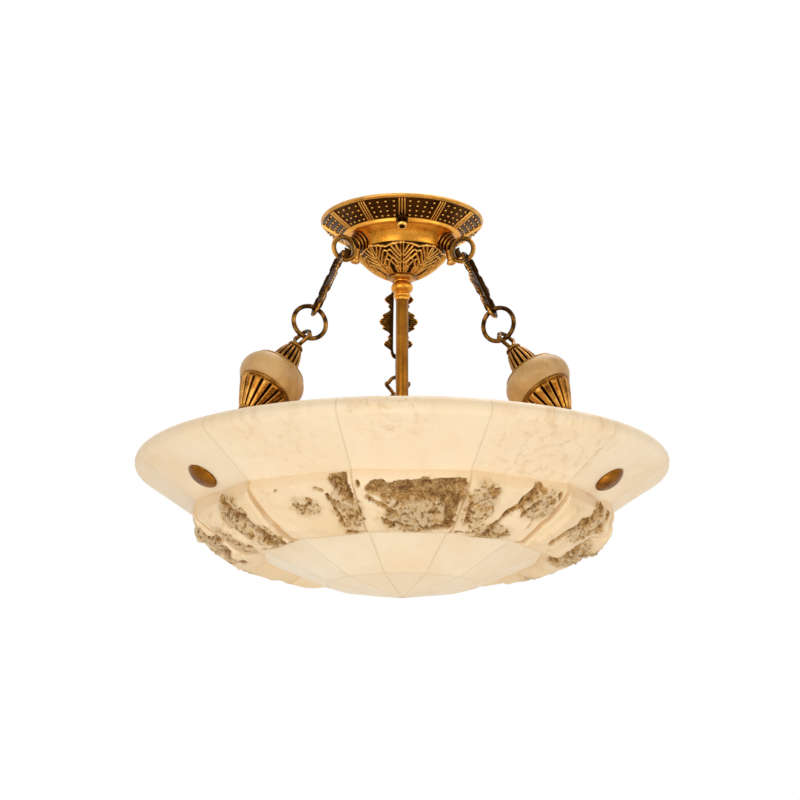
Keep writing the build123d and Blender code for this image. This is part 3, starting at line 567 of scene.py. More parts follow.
def banded_stone():
    """Polished tan stone with soft clouds and fine golden specks."""
    material, shader, where = sheet_of("banded_stone")
    cloud = grain(where, 20.0, 5.0, 0.6, 0.8)
    body = ramp(
        cloud,
        (0.34, (0.50, 0.275, 0.090)), (0.50, (0.66, 0.40, 0.150)), (0.68, (0.80, 0.53, 0.235)),
    )
    speck = level(grain(where, 420.0, 3.0, 0.7), 0.58, 0.70)
    body = tinted(body, speck, 0.45, (0.86, 0.55, 0.20))
    polish = level(cloud, 0.3, 0.7, 0.34, 0.5)
    fill(shader, Base_Color=body, Roughness=polish, Specular_IOR_Level=0.35)
    relief(shader, cloud, 0.0004, 0.3)
    return material


def steel():
    """Zinc plate with its spangle."""
    material, shader, where = sheet_of("zinc_plate")
    tone = knot(shader, "RGBToBW", None, Color=cells(where, 90.0)["Color"]).outputs[0]
    body = ramp(tone, (0.2, (0.50, 0.50, 0.48)), (0.8, (0.68, 0.68, 0.66)))
    fill(shader, Base_Color=body, Roughness=level(tone, 0.2, 0.8, 0.30, 0.46), Metallic=1.0)
    relief(shader, grain(where, 260.0, 2.0), 0.0002, 0.4)
    return material


def moulded(name, pale, tone_mark, roughness=0.5, bumps=300.0):
    """Ceramic, plastic or sheath: a pale body with faint clouding."""
    material, shader, where = sheet_of(name)
    cloud = grain(where, 60.0, 3.0)
    body = ramp(cloud, (0.35, tone_mark), (0.65, pale))
    fill(shader, Base_Color=body, Roughness=level(cloud, 0.3, 0.7, roughness * 0.8, roughness))
    relief(shader, grain(where, bumps, 2.0), 0.00015, 0.4)
    return material


def opal_glass():
    material, shader, where = sheet_of("opal_glass")
    cloud = grain(where, 40.0, 2.0)
    fill(
        shader, Base_Color=ramp(cloud, (0.3, (0.93, 0.86, 0.74)), (0.7, (0.98, 0.94, 0.86))),
        Roughness=level(cloud, 0.3, 0.7, 0.10, 0.2), Subsurface_Weight=0.3,
        Subsurface_Radius=(1.0, 0.9, 0.7), Subsurface_Scale=0.01,
    )
    relief(shader, cloud, 0.0002, 0.2)
    return material


FINISHES = {
    "alabaster": alabaster(),
    "rough_alabaster": split_alabaster(),
    "antique_brass": brass(
        "antique_brass", (0.026, 0.009, 0.0012), (0.30, 0.105, 0.010), (0.95, 0.50, 0.11)
    ),
    # satin_brass: the same brass painted brighter, a painted reflection of the glowing bowl on the
    # cove and the stem knob.
    "satin_brass": brass(
        "satin_brass", (0.34, 0.125, 0.010), (0.74, 0.30, 0.030), (0.95, 0.46, 0.075), 0.0048
    ),
    # brown_brass: the same brass painted darker, painted shade on the stem tube and the cap nuts.
    "brown_brass": brass(
        "brown_brass", (0.085, 0.026, 0.002), (0.20, 0.068, 0.006), (0.42, 0.165, 0.018), 0.0048
    ),
    "dark_brass": brass(
        "dark_brass", (0.012, 0.005, 0.0015), (0.035, 0.013, 0.003), (0.12, 0.050, 0.009)
    ),
    "banded_stone": banded_stone(),
    "zinc_steel": steel(),
    "black_plastic": moulded("terminal_plastic", (0.80, 0.78, 0.72), (0.70, 0.68, 0.62)),
    "lead_sheath": moulded("lead_sheath", (0.72, 0.70, 0.66), (0.60, 0.58, 0.54), 0.6),
    "holder_ceramic": moulded("glazed_ceramic", (0.88, 0.85, 0.79), (0.78, 0.74, 0.66), 0.25, 60.0),
    "frosted_glass": opal_glass(),
}


def coat(piece, *finishes):
    piece.data.materials.clear()
    for finish in finishes:
        piece.data.materials.append(FINISHES[finish])
    return piece


def hang(piece, node):
    """Let a finished piece stand for a CAD node, on its body."""
    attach(piece, BODY_OF[node])
    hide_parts(node)


# ---------------------------------------------------------------- camera, floor and light

CAMERA_LENS = 88.03
CAMERA_PLACE = (-0.0742, -1.7985, -0.6494)
CAMERA_TILT = 14.61
CAMERA_TURN = -2.3
FLOOR_SIZE = 12.0
FLOOR_Z = -2.2
FLOOR_GLOW = 0.45
WORLD_LEVEL = 0.48
WHITE = (1.0, 1.0, 1.0)
LIT = (0, 0, -0.22)
# Name, place, size and watts of each lamp
LAMP_ROWS = (
    ("soft_front", (-1.3, -2.2, -0.2), 1.6, 19.5),
    ("soft_right", (2.0, -1.2, 0.2), 1.2, 10.5),
    ("soft_below", (0.2, -0.8, -1.9), 1.6, 14.0),
    ("soft_top", (0.4, 0.6, 1.6), 1.4, 16.0),
)


def set_up(name, data, place, rotation):
    """Put a camera or lamp in the scene."""
    item = bpy.data.objects.new(name, data)
    bpy.context.scene.collection.objects.link(item)
    item.location = place
    item.rotation_euler = rotation
    return item


def set_the_camera():
    data = bpy.data.cameras.new("eye")
    data.sensor_width = 36.0
    data.lens = CAMERA_LENS
    data.clip_end = 20.0
    rotation = (radians(90.0 + CAMERA_TILT), 0.0, radians(CAMERA_TURN))
    bpy.context.scene.camera = set_up("eye", data, CAMERA_PLACE, rotation)


def background_rays(near):
    """1 for the rays that see the background itself, 0 for those that only light the lamp."""
    rays = knot(near, "LightPath").outputs
    return most(rays["Is Camera Ray"], rays["Is Glossy Ray"], rays["Is Transmission Ray"])


def light_the_room():
    world = bpy.data.worlds.new("studio")
    world.use_nodes = True
    bpy.context.scene.world = world
    back = world.node_tree.nodes["Background"]
    whiter = times(background_rays(back), 1.0 - WORLD_LEVEL)
    fill(back, Color=WHITE, Strength=plus(whiter, WORLD_LEVEL))

    sheet = {"size": FLOOR_SIZE, "location": (0, 0, FLOOR_Z)}
    floor = begin("floor", bpy.ops.mesh.primitive_plane_add, **sheet)
    edit(floor)
    bpy.ops.mesh.subdivide(number_cuts=4)
    leave_edit()
    bpy.ops.object.transform_apply(location=True, rotation=True, scale=True)
    material, shader, where = sheet_of("pale_floor")
    body = ramp(grain(where, 3.0), (0.4, (0.80, 0.80, 0.79)), (0.6, (0.84, 0.84, 0.83)))
    glow = times(background_rays(shader), FLOOR_GLOW)
    fill(shader, Base_Color=body, Roughness=0.9, Emission_Color=WHITE, Emission_Strength=glow)
    floor.data.materials.append(material)

    for name, place, size, watts in LAMP_ROWS:
        data = bpy.data.lights.new(name, "AREA")
        data.energy = watts
        data.size = size
        aim = Vector(LIT) - Vector(place)
        set_up(name, data, place, aim.to_track_quat("-Z", "Y").to_euler())


# ---------------------------------------------------------------- bowl

def on_flat(radius, u, height):
    """Point of a flat panel, u running from -1 to 1 across it."""
    return Vector((radius * HALF_COS, u * radius * HALF_SIN, height))


def slab(name, azimuth, section, columns):
    """A glued panel: a grid wrapped round a section of (radius, height, roundness) points."""
    count = len(section)
    grid = {"x_subdivisions": columns, "y_subdivisions": count, "size": 2.0}
    panel = begin(name, bpy.ops.mesh.primitive_grid_add, **grid)
    for vertex in panel.data.vertices:
        u = vertex.co.x
        radius, height, roundness = section[round((vertex.co.y + 1.0) / 2 * count) % count]
        angle = radians(u * HALF)
        bent = Vector((radius * cos(angle), radius * sin(angle), height))
        vertex.co = on_flat(radius, u, height).lerp(bent, roundness) * MM
    edit(panel)
    bpy.ops.mesh.remove_doubles(threshold=1e-6)
    bpy.ops.mesh.fill_holes(sides=0)
    leave_edit()
    panel.data.transform(turn(azimuth))
    return tidy(panel)


def between(first, last, count, roundness=(0.0, 0.0)):
    """Rows from one (radius, height) point towards another, its last one left out."""
    ends = list(zip((*first, roundness[0]), (*last, roundness[1])))
    return [tuple(a + (b - a) * (row / count) for a, b in ends) for row in range(count)]


def grind_seat(panel, azimuth):
    """Press the slab flat where the cap nut sits."""
    place = turn(azimuth) @ along(BALL, FINIAL_UP)
    back = place.inverted()
    for vertex in panel.data.vertices:
        spot = back @ vertex.co / MM
        if hypot(spot.x, spot.y) < SPOT_RADIUS and -WALL_REACH - 6.0 < spot.z < -WALL_REACH:
            spot.z = -WALL_REACH
            vertex.co = place @ (spot * MM)


def make_smooth_tiers():
    nose = [(radius, height, 1.0) for radius, height in arc(RIM_EDGE, RIM_NOSE, NOSE_END, 8)]
    for index in range(SEGMENTS):
        azimuth = index * STEP
        hanger = azimuth in HANGER_AZIMUTHS
        rows = 26 if hanger else 10
        section = [(RIM_INNER_RADIUS, RIM_Z, 1.0), (*RIM_EDGE, 1.0)] + nose[:-1]
        section += between(NOSE_END, CREASE, rows, (1.0, 0.0))
        section += [(*CREASE, 0.0), (*CREASE_INNER, 0.0)]
        section += between(CREASE_INNER, (RIM_INNER_RADIUS, RIM_Z), 10, (0.0, 1.0))[1:]
        panel = slab(f"rim_slab_{index + 1:02d}", azimuth, section, 52 if hanger else 18)
        if hanger:
            grind_seat(panel, azimuth)
        smooth(coat(panel, "alabaster"), 32.0)
        hang(panel, f"rim_panel_{index + 1:02d}")
    base_inner = (BASE[0], BASE[1] + WALL_RISE)
    lower = (LOWER, BASE, base_inner, LOWER_INNER)
    base = (BASE, (0.0, APEX_Z), (0.0, APEX_Z + WALL_RISE), base_inner)
    for name, corners in (("lower", lower), ("base", base)):
        section = [(*corner, 0.0) for corner in corners]
        slabs = [slab("slab", index * STEP, section, 6) for index in range(SEGMENTS)]
        tier = smooth(coat(joined(f"{name}_slabs", slabs), "alabaster"), 30.0)
        hang(tier, f"{name}_panels")


# Strokes that hollow the split faces out: azimuth and share down the face where each starts and
# ends, half width and depth in millimetres (a lump stands proud), and how dark (the stone's brown
# with painted shade) and grainy it is
STROKES = (
    # front block: a wide ragged cavity, deeper along its top and right side
    (-9, 0.2, 12.5, 0.17, 8.5, 8, 1), (-6, 0.33, 4, 0.31, 7.5, 7, 0.9),
    (7, 0.3, 12, 0.36, 8.5, 9, 1), (12.3, 0.25, 12.8, 0.78, 5.5, 8, 1),
    (5, 0.78, 12.5, 0.8, 3.2, 5, 0.8), (-12, 0.34, -5, 0.58, 3, 4.5, 0.8),
    (-8, 0.72, -1, 0.8, 3.2, 3.5, 0.6), (1, 0.56, 5, 0.7, 5, -5, 0), (-3, 0.6, -1, 0.52, 4, -4, 0),
    (-13.8, 0.1, -13.8, 0.16, 1.6, 4, 0.8),
    # to its left: a square recess in the corner, its lower edge crumbling
    (-20, 0.03, -17.6, 0.2, 7, 11, 0.95), (-17, 0.02, -16.6, 0.34, 4, 9, 1),
    (-23.2, 0.22, -21.5, 0.74, 1.6, 5, 0.8), (-20.5, 0.4, -17.5, 0.6, 5.5, 4, 0.35),
    (-21, 0.84, -16, 0.88, 2.4, 4, 0.6), (-31.6, 0.36, -31.2, 0.38, 2.2, 4.5, 1),
    (-29.8, 0.34, -29.6, 0.35, 1.5, 3.5, 1), (-32.6, 0.3, -32.5, 0.31, 1.2, 3, 0.9),
    (-30.6, 0.44, -30.5, 0.44, 1, 2.5, 0.8), (-26, 0.12, -24, 0.16, 1.6, 2.5, 0.5),
    (-37.5, 0.1, -37, 0.1, 1, 2, 0.5),
    # a deep groove slanting down the next one
    (-60, 0, -51.5, 0.32, 3.8, 10, 0.95), (-51.5, 0.32, -51, 0.8, 3.4, 9, 0.9),
    (-50, 0.6, -46.5, 0.92, 2.6, 5, 0.9), (-57, 0.3, -56, 0.7, 8, -4.5, 0),
    (-66, 0.2, -64, 0.6, 7, -4, 0), (-70, 0.58, -66, 0.74, 3.6, 5.5, 0.55),
    (-62, 0.86, -55, 0.92, 3, 4, 0.5), (-50.5, 0.12, -47.5, 0.1, 4, -2.5, 0),
    # left side
    (-80, 0.22, -76.5, 0.46, 4, 6, 0.6), (-86, 0.52, -80, 0.66, 4.5, 5.5, 0.5),
    (-98, 0.4, -92, 0.62, 5, 6, 0.6), (-90, 0.8, -82, 0.84, 3, 4, 0.5),
    (-96, 0.14, -84, 0.2, 7, -5, 0), (-88, 0.7, -78, 0.76, 6, -5, 0),
    # right of the front: a long slanting hollow
    (35.5, 0.04, 33, 0.3, 5.2, 8.5, 0.95), (33, 0.3, 29, 0.62, 4.4, 8, 0.9),
    (29, 0.62, 27.5, 0.92, 3.4, 6, 0.8), (37.5, 0.2, 36, 0.44, 2.6, 5, 0.6),
    (31, 0.86, 37, 0.8, 2.2, 3.5, 0.6), (21.5, 0.13, 23.5, 0.2, 3.6, 3.5, 0.45),
    (19.5, 0.3, 21.5, 0.26, 2.2, 2.5, 0.5), (17.2, 0.36, 18.4, 0.66, 2.6, 3.5, 0.6),
    (16.5, 0.86, 21, 0.84, 2.2, 3, 0.5), (43.2, 0.08, 43.8, 0.16, 2, 4, 0.7),
    (40, 0.42, 41, 0.62, 1.6, 3, 0.4),
    # right side: a scoop beside a smooth ridge, and pockets below it
    (66, 0.06, 62, 0.3, 8.5, 11, 0.95), (62, 0.3, 57.5, 0.66, 6, 10, 0.85),
    (71.5, 0.1, 70, 0.42, 5, 7, 0.7), (51, 0.2, 50, 0.7, 8, -4, 0),
    (73.6, 0.62, 79, 0.7, 4.2, 7.5, 0.9), (82, 0.7, 87, 0.8, 4, 6.5, 0.8),
    (76, 0.92, 84, 0.93, 2.6, 5, 0.6), (76, 0.26, 88, 0.36, 11, -8, 0),
    (80, 0.56, 90, 0.6, 6, -5, 0), (92, 0.22, 97, 0.36, 6.5, -4, 0),
    (90, 0.46, 100, 0.54, 4, 6, 0.6),
    # back
    (112, 0.25, 118, 0.6, 7, 9, 0.9), (124, 0.6, 131, 0.75, 5, 5, 0.5),
    (139, 0.2, 150, 0.28, 7.5, 8, 0.95), (143, 0.64, 152, 0.7, 5, 5, 0.5),
    (167, 0.1, 174, 0.8, 5, 8, 0.8), (181, 0.5, 188, 0.62, 6, -4, 0),
    (198, 0.2, 208, 0.36, 7, 8.5, 0.9), (200, 0.74, 212, 0.8, 4, 5, 0.6),
    (222, 0.24, 229, 0.74, 5.5, 8, 0.85), (232, 0.16, 238, 0.22, 5, 4, 0.4),
    (246, 0.22, 252, 0.6, 7, 8.5, 0.9), (258, 0.1, 263, 0.5, 4, 6, 0.7),
)
# How gritty each block is, starting at the front
COARSENESS = (0.8, 0.45, 0.35, 0.75, 0.8, 0.6, 0.8, 0.6, 0.7, 0.9, 0.6, 0.2)
# Crumbly ground: azimuth, share, half width (degrees), half height (share)
CRUMBLY = (
    (2, 0.6, 13, 0.36), (-19, 0.55, 5.5, 0.45), (-31, 0.38, 5, 0.2), (20, 0.4, 6, 0.45),
    (39, 0.25, 6, 0.3), (-69, 0.6, 6, 0.36), (-56, 0.3, 8, 0.36), (-84, 0.45, 10, 0.48),
    (80, 0.72, 10, 0.34), (66, 0.3, 8, 0.36), (29, 0.8, 9, 0.22), (-50, 0.7, 5, 0.3),
    (92, 0.45, 9, 0.4), (118, 0.6, 10, 0.4), (146, 0.4, 11, 0.36), (172, 0.5, 12, 0.4),
    (204, 0.4, 12, 0.4), (228, 0.45, 12, 0.4), (252, 0.5, 10, 0.4),
)
# How far the face bulges at each share of its way down
LIFTS = (
    (0.0, 0.0), (0.012, 0.24), (0.05, 0.66), (0.14, 0.88), (0.30, 1.0),
    (0.72, 1.0), (0.88, 0.86), (0.98, 0.34), (1.0, 0.0),
)
FACE_RUN = (LOWER[0] - CREASE[0], LOWER[1] - CREASE[1])
FACE_LENGTH, FACE_DOWN = reach_of(CREASE, LOWER)
FACE_OUT = (-FACE_DOWN[1], FACE_DOWN[0])
FRONT_BLOCKS = (9, 10, 11, 0, 1, 2, 3)
STROKE_REACH = 24.0


def lift_at(share):
    for (a, low), (b, high) in zip(LIFTS, LIFTS[1:]):
        if share <= b:
            return low + (high - low) * (share - a) / (b - a)
    return 0.0


def off_from(azimuth, centre):
    return (azimuth - centre + 180.0) % 360.0 - 180.0


def split_relief(azimuth, share, radius, coarse, point):
    """(height, hollowness, grit) of a split face in millimetres; hollowness marks where the stone
    is painted brown and darkened with painted shade.
    """
    slow = noise.fractal(point * 0.030, 1.0, 2.0, 3)
    wobble = 2.6 * noise.noise(point * 0.085) + 1.5 * noise.noise(point * 0.24)
    wobble += 0.8 * noise.noise(point * 0.6)
    spot = point * 0.075 + Vector((7, 3, 1))
    ridge = noise.ridged_multi_fractal(spot, 1.0, 2.1, 4, 1.0, 2.0) - 1.2
    crumb = noise.fractal(point * 0.20 + Vector((1, 9, 4)), 0.7, 2.1, 4)
    chip = noise.fractal(point * 0.42 + Vector((4, 2, 8)), 0.8, 2.0, 2)
    grit = 0.0
    for centre, middle, wide, tall in CRUMBLY:
        reach = hypot(off_from(azimuth, centre) / wide, (share - middle) / tall) + wobble * 0.07
        grit = max(grit, 1.0 - step_up(0.55, 1.10, reach))
    grit *= 0.55 + 0.45 * coarse
    height = slow * 2.2 + ridge * (0.25 + 1.0 * grit)
    height = height + crumb * (0.15 + 1.4 * grit) + chip * (0.05 + 0.8 * grit)
    hollow = 0.0
    for az_a, share_a, az_b, share_b, half, depth, dark in STROKES:
        off_a = off_from(azimuth, az_a)
        if abs(off_a) > STROKE_REACH:
            continue
        start = (radians(off_a) * -radius, share_a * FACE_LENGTH)
        end = (radians(off_a - (az_b - az_a)) * -radius, share_b * FACE_LENGTH)
        away, _ = near_line((0.0, share * FACE_LENGTH), start, end)
        edge = away + wobble * min(1.0, half / 4.0)
        cut = 1.0 - step_up(half * 0.45, half * 1.18, edge)
        if depth > 0.0:
            floor = depth * (0.85 + 0.35 * noise.noise(point * 0.16))
            sunk = height * (1.0 - cut) - floor * cut + (crumb * 1.5 + chip * 1.3) * cut
            height = min(height, sunk)
            # Darker towards the middle of each hollow: painted shade with the stone's brown.
            hollow = max(hollow, dark * (1.0 - step_up(half * 0.55, half * 1.15, edge)))
        else:
            height -= depth * cut * 0.8
    # Painted shade in the crevices between crumbs, lifted where lumps stand up, and in the pits.
    crevice = step_up(0.02, 0.42, -0.8 * crumb - 0.5 * chip) * step_up(0.15, 0.6, grit)
    lump = step_up(0.10, 0.55, 0.8 * crumb + 0.5 * chip)
    hollow = max(hollow * (1.0 - 0.62 * lump), 0.72 * crevice)
    pits = noise.voronoi(point * 0.20)[0][0]
    pit = (1.0 - step_up(0.08, 0.30, pits)) * step_up(0.25, 0.7, grit)
    height -= pit * 2.0
    return height, max(hollow, pit * 0.7), grit


def split_block(index):
    """One block: a grid laid over the bulging face and drawn back to the smooth inner wall."""
    bulge = BLOCK_BULGES[index]
    coarse = COARSENESS[index]
    azimuth = index * STEP
    across, down = (120, 76) if index in FRONT_BLOCKS else (64, 40)
    grid = {"x_subdivisions": across, "y_subdivisions": down, "size": 2.0}
    block = begin("block", bpy.ops.mesh.primitive_grid_add, **grid)
    hollows = []
    grits = []
    for vertex in block.data.vertices:
        u, v = vertex.co.x, vertex.co.y
        share = (1.0 - v) / 2
        share -= 0.055 * sin(2 * pi * share)
        radius = CREASE[0] + FACE_RUN[0] * share
        height = CREASE[1] + FACE_RUN[1] * share
        here = azimuth + u * HALF
        sample = Vector((radius * cos(radians(here)), radius * sin(radians(here)), height))
        rise, hollow, grit = split_relief(here, share, radius, coarse, sample)
        lift = lift_at(share)
        side = 1.0 - 0.16 * step_up(0.93, 1.0, abs(u)) - 0.06 * step_up(0.6, 0.95, abs(u))
        inside = step_up(0.0, 0.06, share) * (1.0 - step_up(0.95, 1.0, share))
        ease = 1.0 - 0.4 * step_up(0.96, 1.0, abs(u))
        stand = bulge * lift * side + rise * min(1.0, lift * 1.15) * ease
        stand = max(0.0 if share in (0.0, 1.0) else 0.3, stand)
        radius += FACE_OUT[0] * stand
        height += FACE_OUT[1] * stand
        vertex.co = on_flat(radius, u, height) * MM
        hollows.append(hollow * inside)
        grits.append(grit * inside)
    for name, values in (("hollow", hollows), ("coarse", grits)):
        attribute = block.data.attributes.new(name, "FLOAT", "POINT")
        attribute.data.foreach_set("value", values)
    edit(block)
    bpy.ops.mesh.select_all(action="DESELECT")
    bpy.ops.mesh.select_mode(type="EDGE")
    bpy.ops.mesh.select_non_manifold(extend=False, use_boundary=True)
    bpy.ops.mesh.extrude_region_move(TRANSFORM_OT_translate={"value": (0, 0, 0)})
    leave_edit()
    for vertex in block.data.vertices:
        if vertex.select:
            x, y, z = vertex.co / MM
            outer = x / HALF_COS
            u = y / (outer * HALF_SIN)
            share = (outer - CREASE[0]) * FACE_RUN[0] + (z - CREASE[1]) * FACE_RUN[1]
            share /= FACE_LENGTH**2
            share = min(1.0, max(0.0, share))
            radius = CREASE_INNER[0] + (LOWER_INNER[0] - CREASE_INNER[0]) * share
            height = CREASE_INNER[1] + (LOWER_INNER[1] - CREASE_INNER[1]) * share
            vertex.co = on_flat(radius, u, height) * MM
            for name in ("hollow", "coarse"):
                block.data.attributes[name].data[vertex.index].value = 0.0
    bpy.ops.object.mode_set(mode="EDIT")
    bpy.ops.mesh.edge_face_add()
    bpy.ops.mesh.select_mode(type="VERT")
    leave_edit()
    block.data.transform(turn(azimuth))
    return tidy(block, 2e-6)


def make_split_tier():
    tier = smooth(joined("split_blocks", [split_block(index) for index in range(SEGMENTS)]), 55.0)
    hang(coat(tier, "rough_alabaster"), "rough_blocks")


# ---------------------------------------------------------------- canopy

# Ends of the dark band that the ribs and studs stand on
DRESSED = ((77.2, -4.1), (57.8, -17.3))
RIB_SETS = 12
RIB_PITCH = 2.6
RIB_STEP = 360.0 / RIB_SETS
STUD_ROWS = 4


def cove_sheen_and_shade(point):
    """Cove: a painted reflection, brighter towards the rim, and painted shade, darker towards the
    dome.
    """
    radius = hypot(point.x, point.y)
    return 0.5 - 0.9 * step_up(0.0, 1.0, (53.0 - radius) / 9.0)


def make_canopy():
    outline = drawn(
        (RIM_INSIDE, 0), (77.4, 0), ((79, -1.7), (78.0, -3.2), 8), *DRESSED, (57.3, -18.4),
        ((56.6, -20.4), (54.2, -21.0), 7), ((47.4, -26.2), (44.0, -35.0), 16), (42.2, -35.0),
        ((45.8, -25.4), (53.0, -19.0), 8), (RIM_INSIDE, -4.77), (RIM_INSIDE, 0),
    )
    shell = coat(lathe("shell", outline, 144, 0.2), "satin_brass", "dark_brass", "antique_brass")
    for face in shell.data.polygons:
        radius = hypot(face.center.x, face.center.y) / MM
        on_band = DRESSED[1][0] < radius < DRESSED[0][0] and face.center.z / MM > -17.6
        if on_band and face.normal.z < -0.5:
            face.material_index = 1
        elif radius > DRESSED[0][0]:
            face.material_index = 2
    # The outer roll gets a bright patina value; the cove gets the painted reflection and painted
    # shade above.
    write_patina_and_shading(shell, [
        0.55 if hypot(v.co.x, v.co.y) / MM > DRESSED[0][0] else cove_sheen_and_shade(v.co / MM)
        for v in shell.data.vertices
    ])
    smooth(shell, 40.0)

    rib = begin("rib", bpy.ops.mesh.primitive_cube_add, size=1.0)
    reshape(rib, lambda p: (p.x * MM * (BAND_LENGTH - 1.6), p.y * MM * 1.25, p.z * MM * 2.6))
    bevelled(rib, 0.55, 3)
    # Painted highlight on each rib's crest and painted shade on its sides, with the patina.
    write_patina_and_shading(rib, [1.1 if v.co.z > 0.7 * MM else -1.0 for v in rib.data.vertices])
    middle = ((DRESSED[0][0] + DRESSED[1][0]) / 2, (DRESSED[0][1] + DRESSED[1][1]) / 2)
    ball = {"segments": 12, "ring_count": 6, "radius": 1.25 * MM}
    stud = begin("stud", bpy.ops.mesh.primitive_uv_sphere_add, **ball)

    def tear(p):
        tail = max(0.0, -p.x)
        return p.x + 0.35 * tail**2, p.y * (1.0 - 0.30 * tail), p.z * 0.95

    reshape(stud, tear)
    # Painted highlight on the top of each stud and painted shade beneath it.
    write_patina_and_shading(stud, [1.3 if v.co.z > 0.2 * MM else -0.6 for v in stud.data.vertices])
    dressings = []
    for index in range(RIB_SETS):
        centre = CANOPY_TURN + index * RIB_STEP
        for side in (-1, 0, 1):
            place = turn(centre) @ along(beyond(middle, BAND_OUT, 0.2), BAND_OUT)
            aside = Matrix.Translation((0, side * RIB_PITCH * MM, 0))
            dressings.append(copied(rib, "rib", place @ aside))
        for row in range(STUD_ROWS):
            at = beyond(middle, BAND_ALONG, -BAND_LENGTH / 2 + BAND_LENGTH * (row + 0.66) / 4.4)
            for column in range(STUD_ROWS):
                spread = (column - 1.5) * (at[0] * radians(RIB_STEP) - 9.2) / 3.8
                spot = centre + RIB_STEP / 2 + degrees(spread / at[0])
                place = turn(spot) @ along(beyond(at, BAND_OUT, 0.25), BAND_OUT)
                dressings.append(copied(stud, "stud", place))
    for piece in dressings:
        coat(piece, "antique_brass")
    drop(rib, stud)
    dressing = smooth(joined("band_dressing", dressings), 50.0)
    hang(dressing, "canopy_plate")
    shell.name = "canopy_shell"
    hang(shell, "canopy_plate")


# Lobes of half a leaf: (across, up) where each starts and ends, and its half width
LEAF_LOBES = (
    ((1.9, 1.5), (4.6, 9.5), 1.9),
    ((2.0, 7.5), (8.8, 18.0), 2.5),
    ((2.0, 15.5), (12.2, 27.0), 2.9),
    ((2.0, 24.0), (8.6, 33.8), 2.7),
)
LEAF_STEP = 45.0
DOME_EDGE = (43.5, -35.0)
DOME_FOOT = (13.0, -58.0)
DOME_LENGTH = hypot(DOME_EDGE[0] - DOME_FOOT[0], DOME_EDGE[1] - DOME_FOOT[1])


def leaf_height(point, normal):
    """A leaf of the dome: a double midrib and looped lobes with raised rims and dark hollows; its
    patina value paints the rims bright and the hollows dark, patina with painted highlight and
    painted shade.
    """
    radius = hypot(point.x, point.y)
    if normal.z > 0.15 or radius < DOME_FOOT[0] + 0.3:
        return 0.0, 0.1
    azimuth = degrees(atan2(point.x, -point.y)) - CANOPY_TURN
    sector = (azimuth / LEAF_STEP + 0.5) % 1.0 - 0.5
    up = DOME_LENGTH - hypot(DOME_EDGE[0] - radius, DOME_EDGE[1] - point.z) * 1.015
    across = abs(sector) * radians(LEAF_STEP) * radius
    half_width = radius * radians(LEAF_STEP / 2)
    shrink = min(1.0, half_width / (4.2 + 0.36 * up))
    rise, tone = -0.8, -1.0
    for start, end, width in LEAF_LOBES:
        distance, share = near_line((across, up), start, (end[0] * shrink, end[1]))
        wide = width * (0.62 + 0.45 * share) * (0.45 + 0.55 * shrink)
        if distance > wide + 1.2:
            continue
        rim = bell(distance - wide * 0.72, 0.85)
        vein = 0.75 * bell(distance, 0.42) * step_up(0.1, 0.4, share)
        vein *= 1.0 - step_up(0.55, 0.85, share)
        here = 1.5 * max(rim, vein) - 0.4
        if here > rise:
            rise, tone = here, 2.2 * max(rim, vein) - 0.95
    midrib = bell(across - 1.25, 0.62) * step_up(0.0, 3.0, up)
    if 1.4 * midrib - 0.2 > rise:
        rise, tone = 1.4 * midrib - 0.2, 2.1 * midrib - 0.9
    scallop = bell(up - (36.2 - 3.2 * (across / half_width) ** 2), 0.8)
    if 1.4 * scallop > rise:
        rise, tone = 1.4 * scallop, 2.0 * scallop - 0.8
    low_end = step_up(0.4, 2.6, up)
    return rise * low_end * 1.05, tone * low_end


def make_dome():
    outline = drawn(
        (42.0, -34.4), DOME_EDGE, ((30.2, -48.9), DOME_FOOT, 76), ((13.0, -59.4), (12.2, -60.6), 3),
        (11.6, -61.0), (5.2, -61.0), (5.2, -57.5), (11.4, -57.5),
        ((28.9, -47.0), (41.5, -35.0), 8), (42.0, -34.4),
    )
    dome = lathe("leaf_dome", outline, 448)
    emboss(dome, leaf_height)
    smooth(coat(dome, "antique_brass"), 70.0)
    hang(dome, "canopy_dome")


def hoop(name, major, minor):
    """A torus of radius 1 and thickness 0.5, to be drawn to another shape."""
    segments = {"major_segments": major, "minor_segments": minor}
    radii = {"major_radius": 1.0, "minor_radius": 0.25}
    return begin(name, bpy.ops.mesh.primitive_torus_add, align="WORLD", **radii, **segments)


def bent_ring(name, path, across, thick, major=72, minor=14):
    """Closed bar: a torus drawn to path(angle), its section across wide and thick deep."""
    ring = hoop(name, major, minor)
    for vertex in ring.data.vertices:
        x, y, z = vertex.co
        angle = atan2(y, x)
        low = path(angle - 0.02)
        high = path(angle + 0.02)
        tangent = Vector((high[0] - low[0], high[1] - low[1])).normalized()
        side = Vector((tangent.y, -tangent.x))
        off = (hypot(x, y) - 1.0) / 0.25
        spot = Vector(path(angle)) + side * off * across(angle)
        vertex.co = Vector((spot.x, spot.y, z / 0.25 * thick(angle))) * MM
    return tidy(ring)


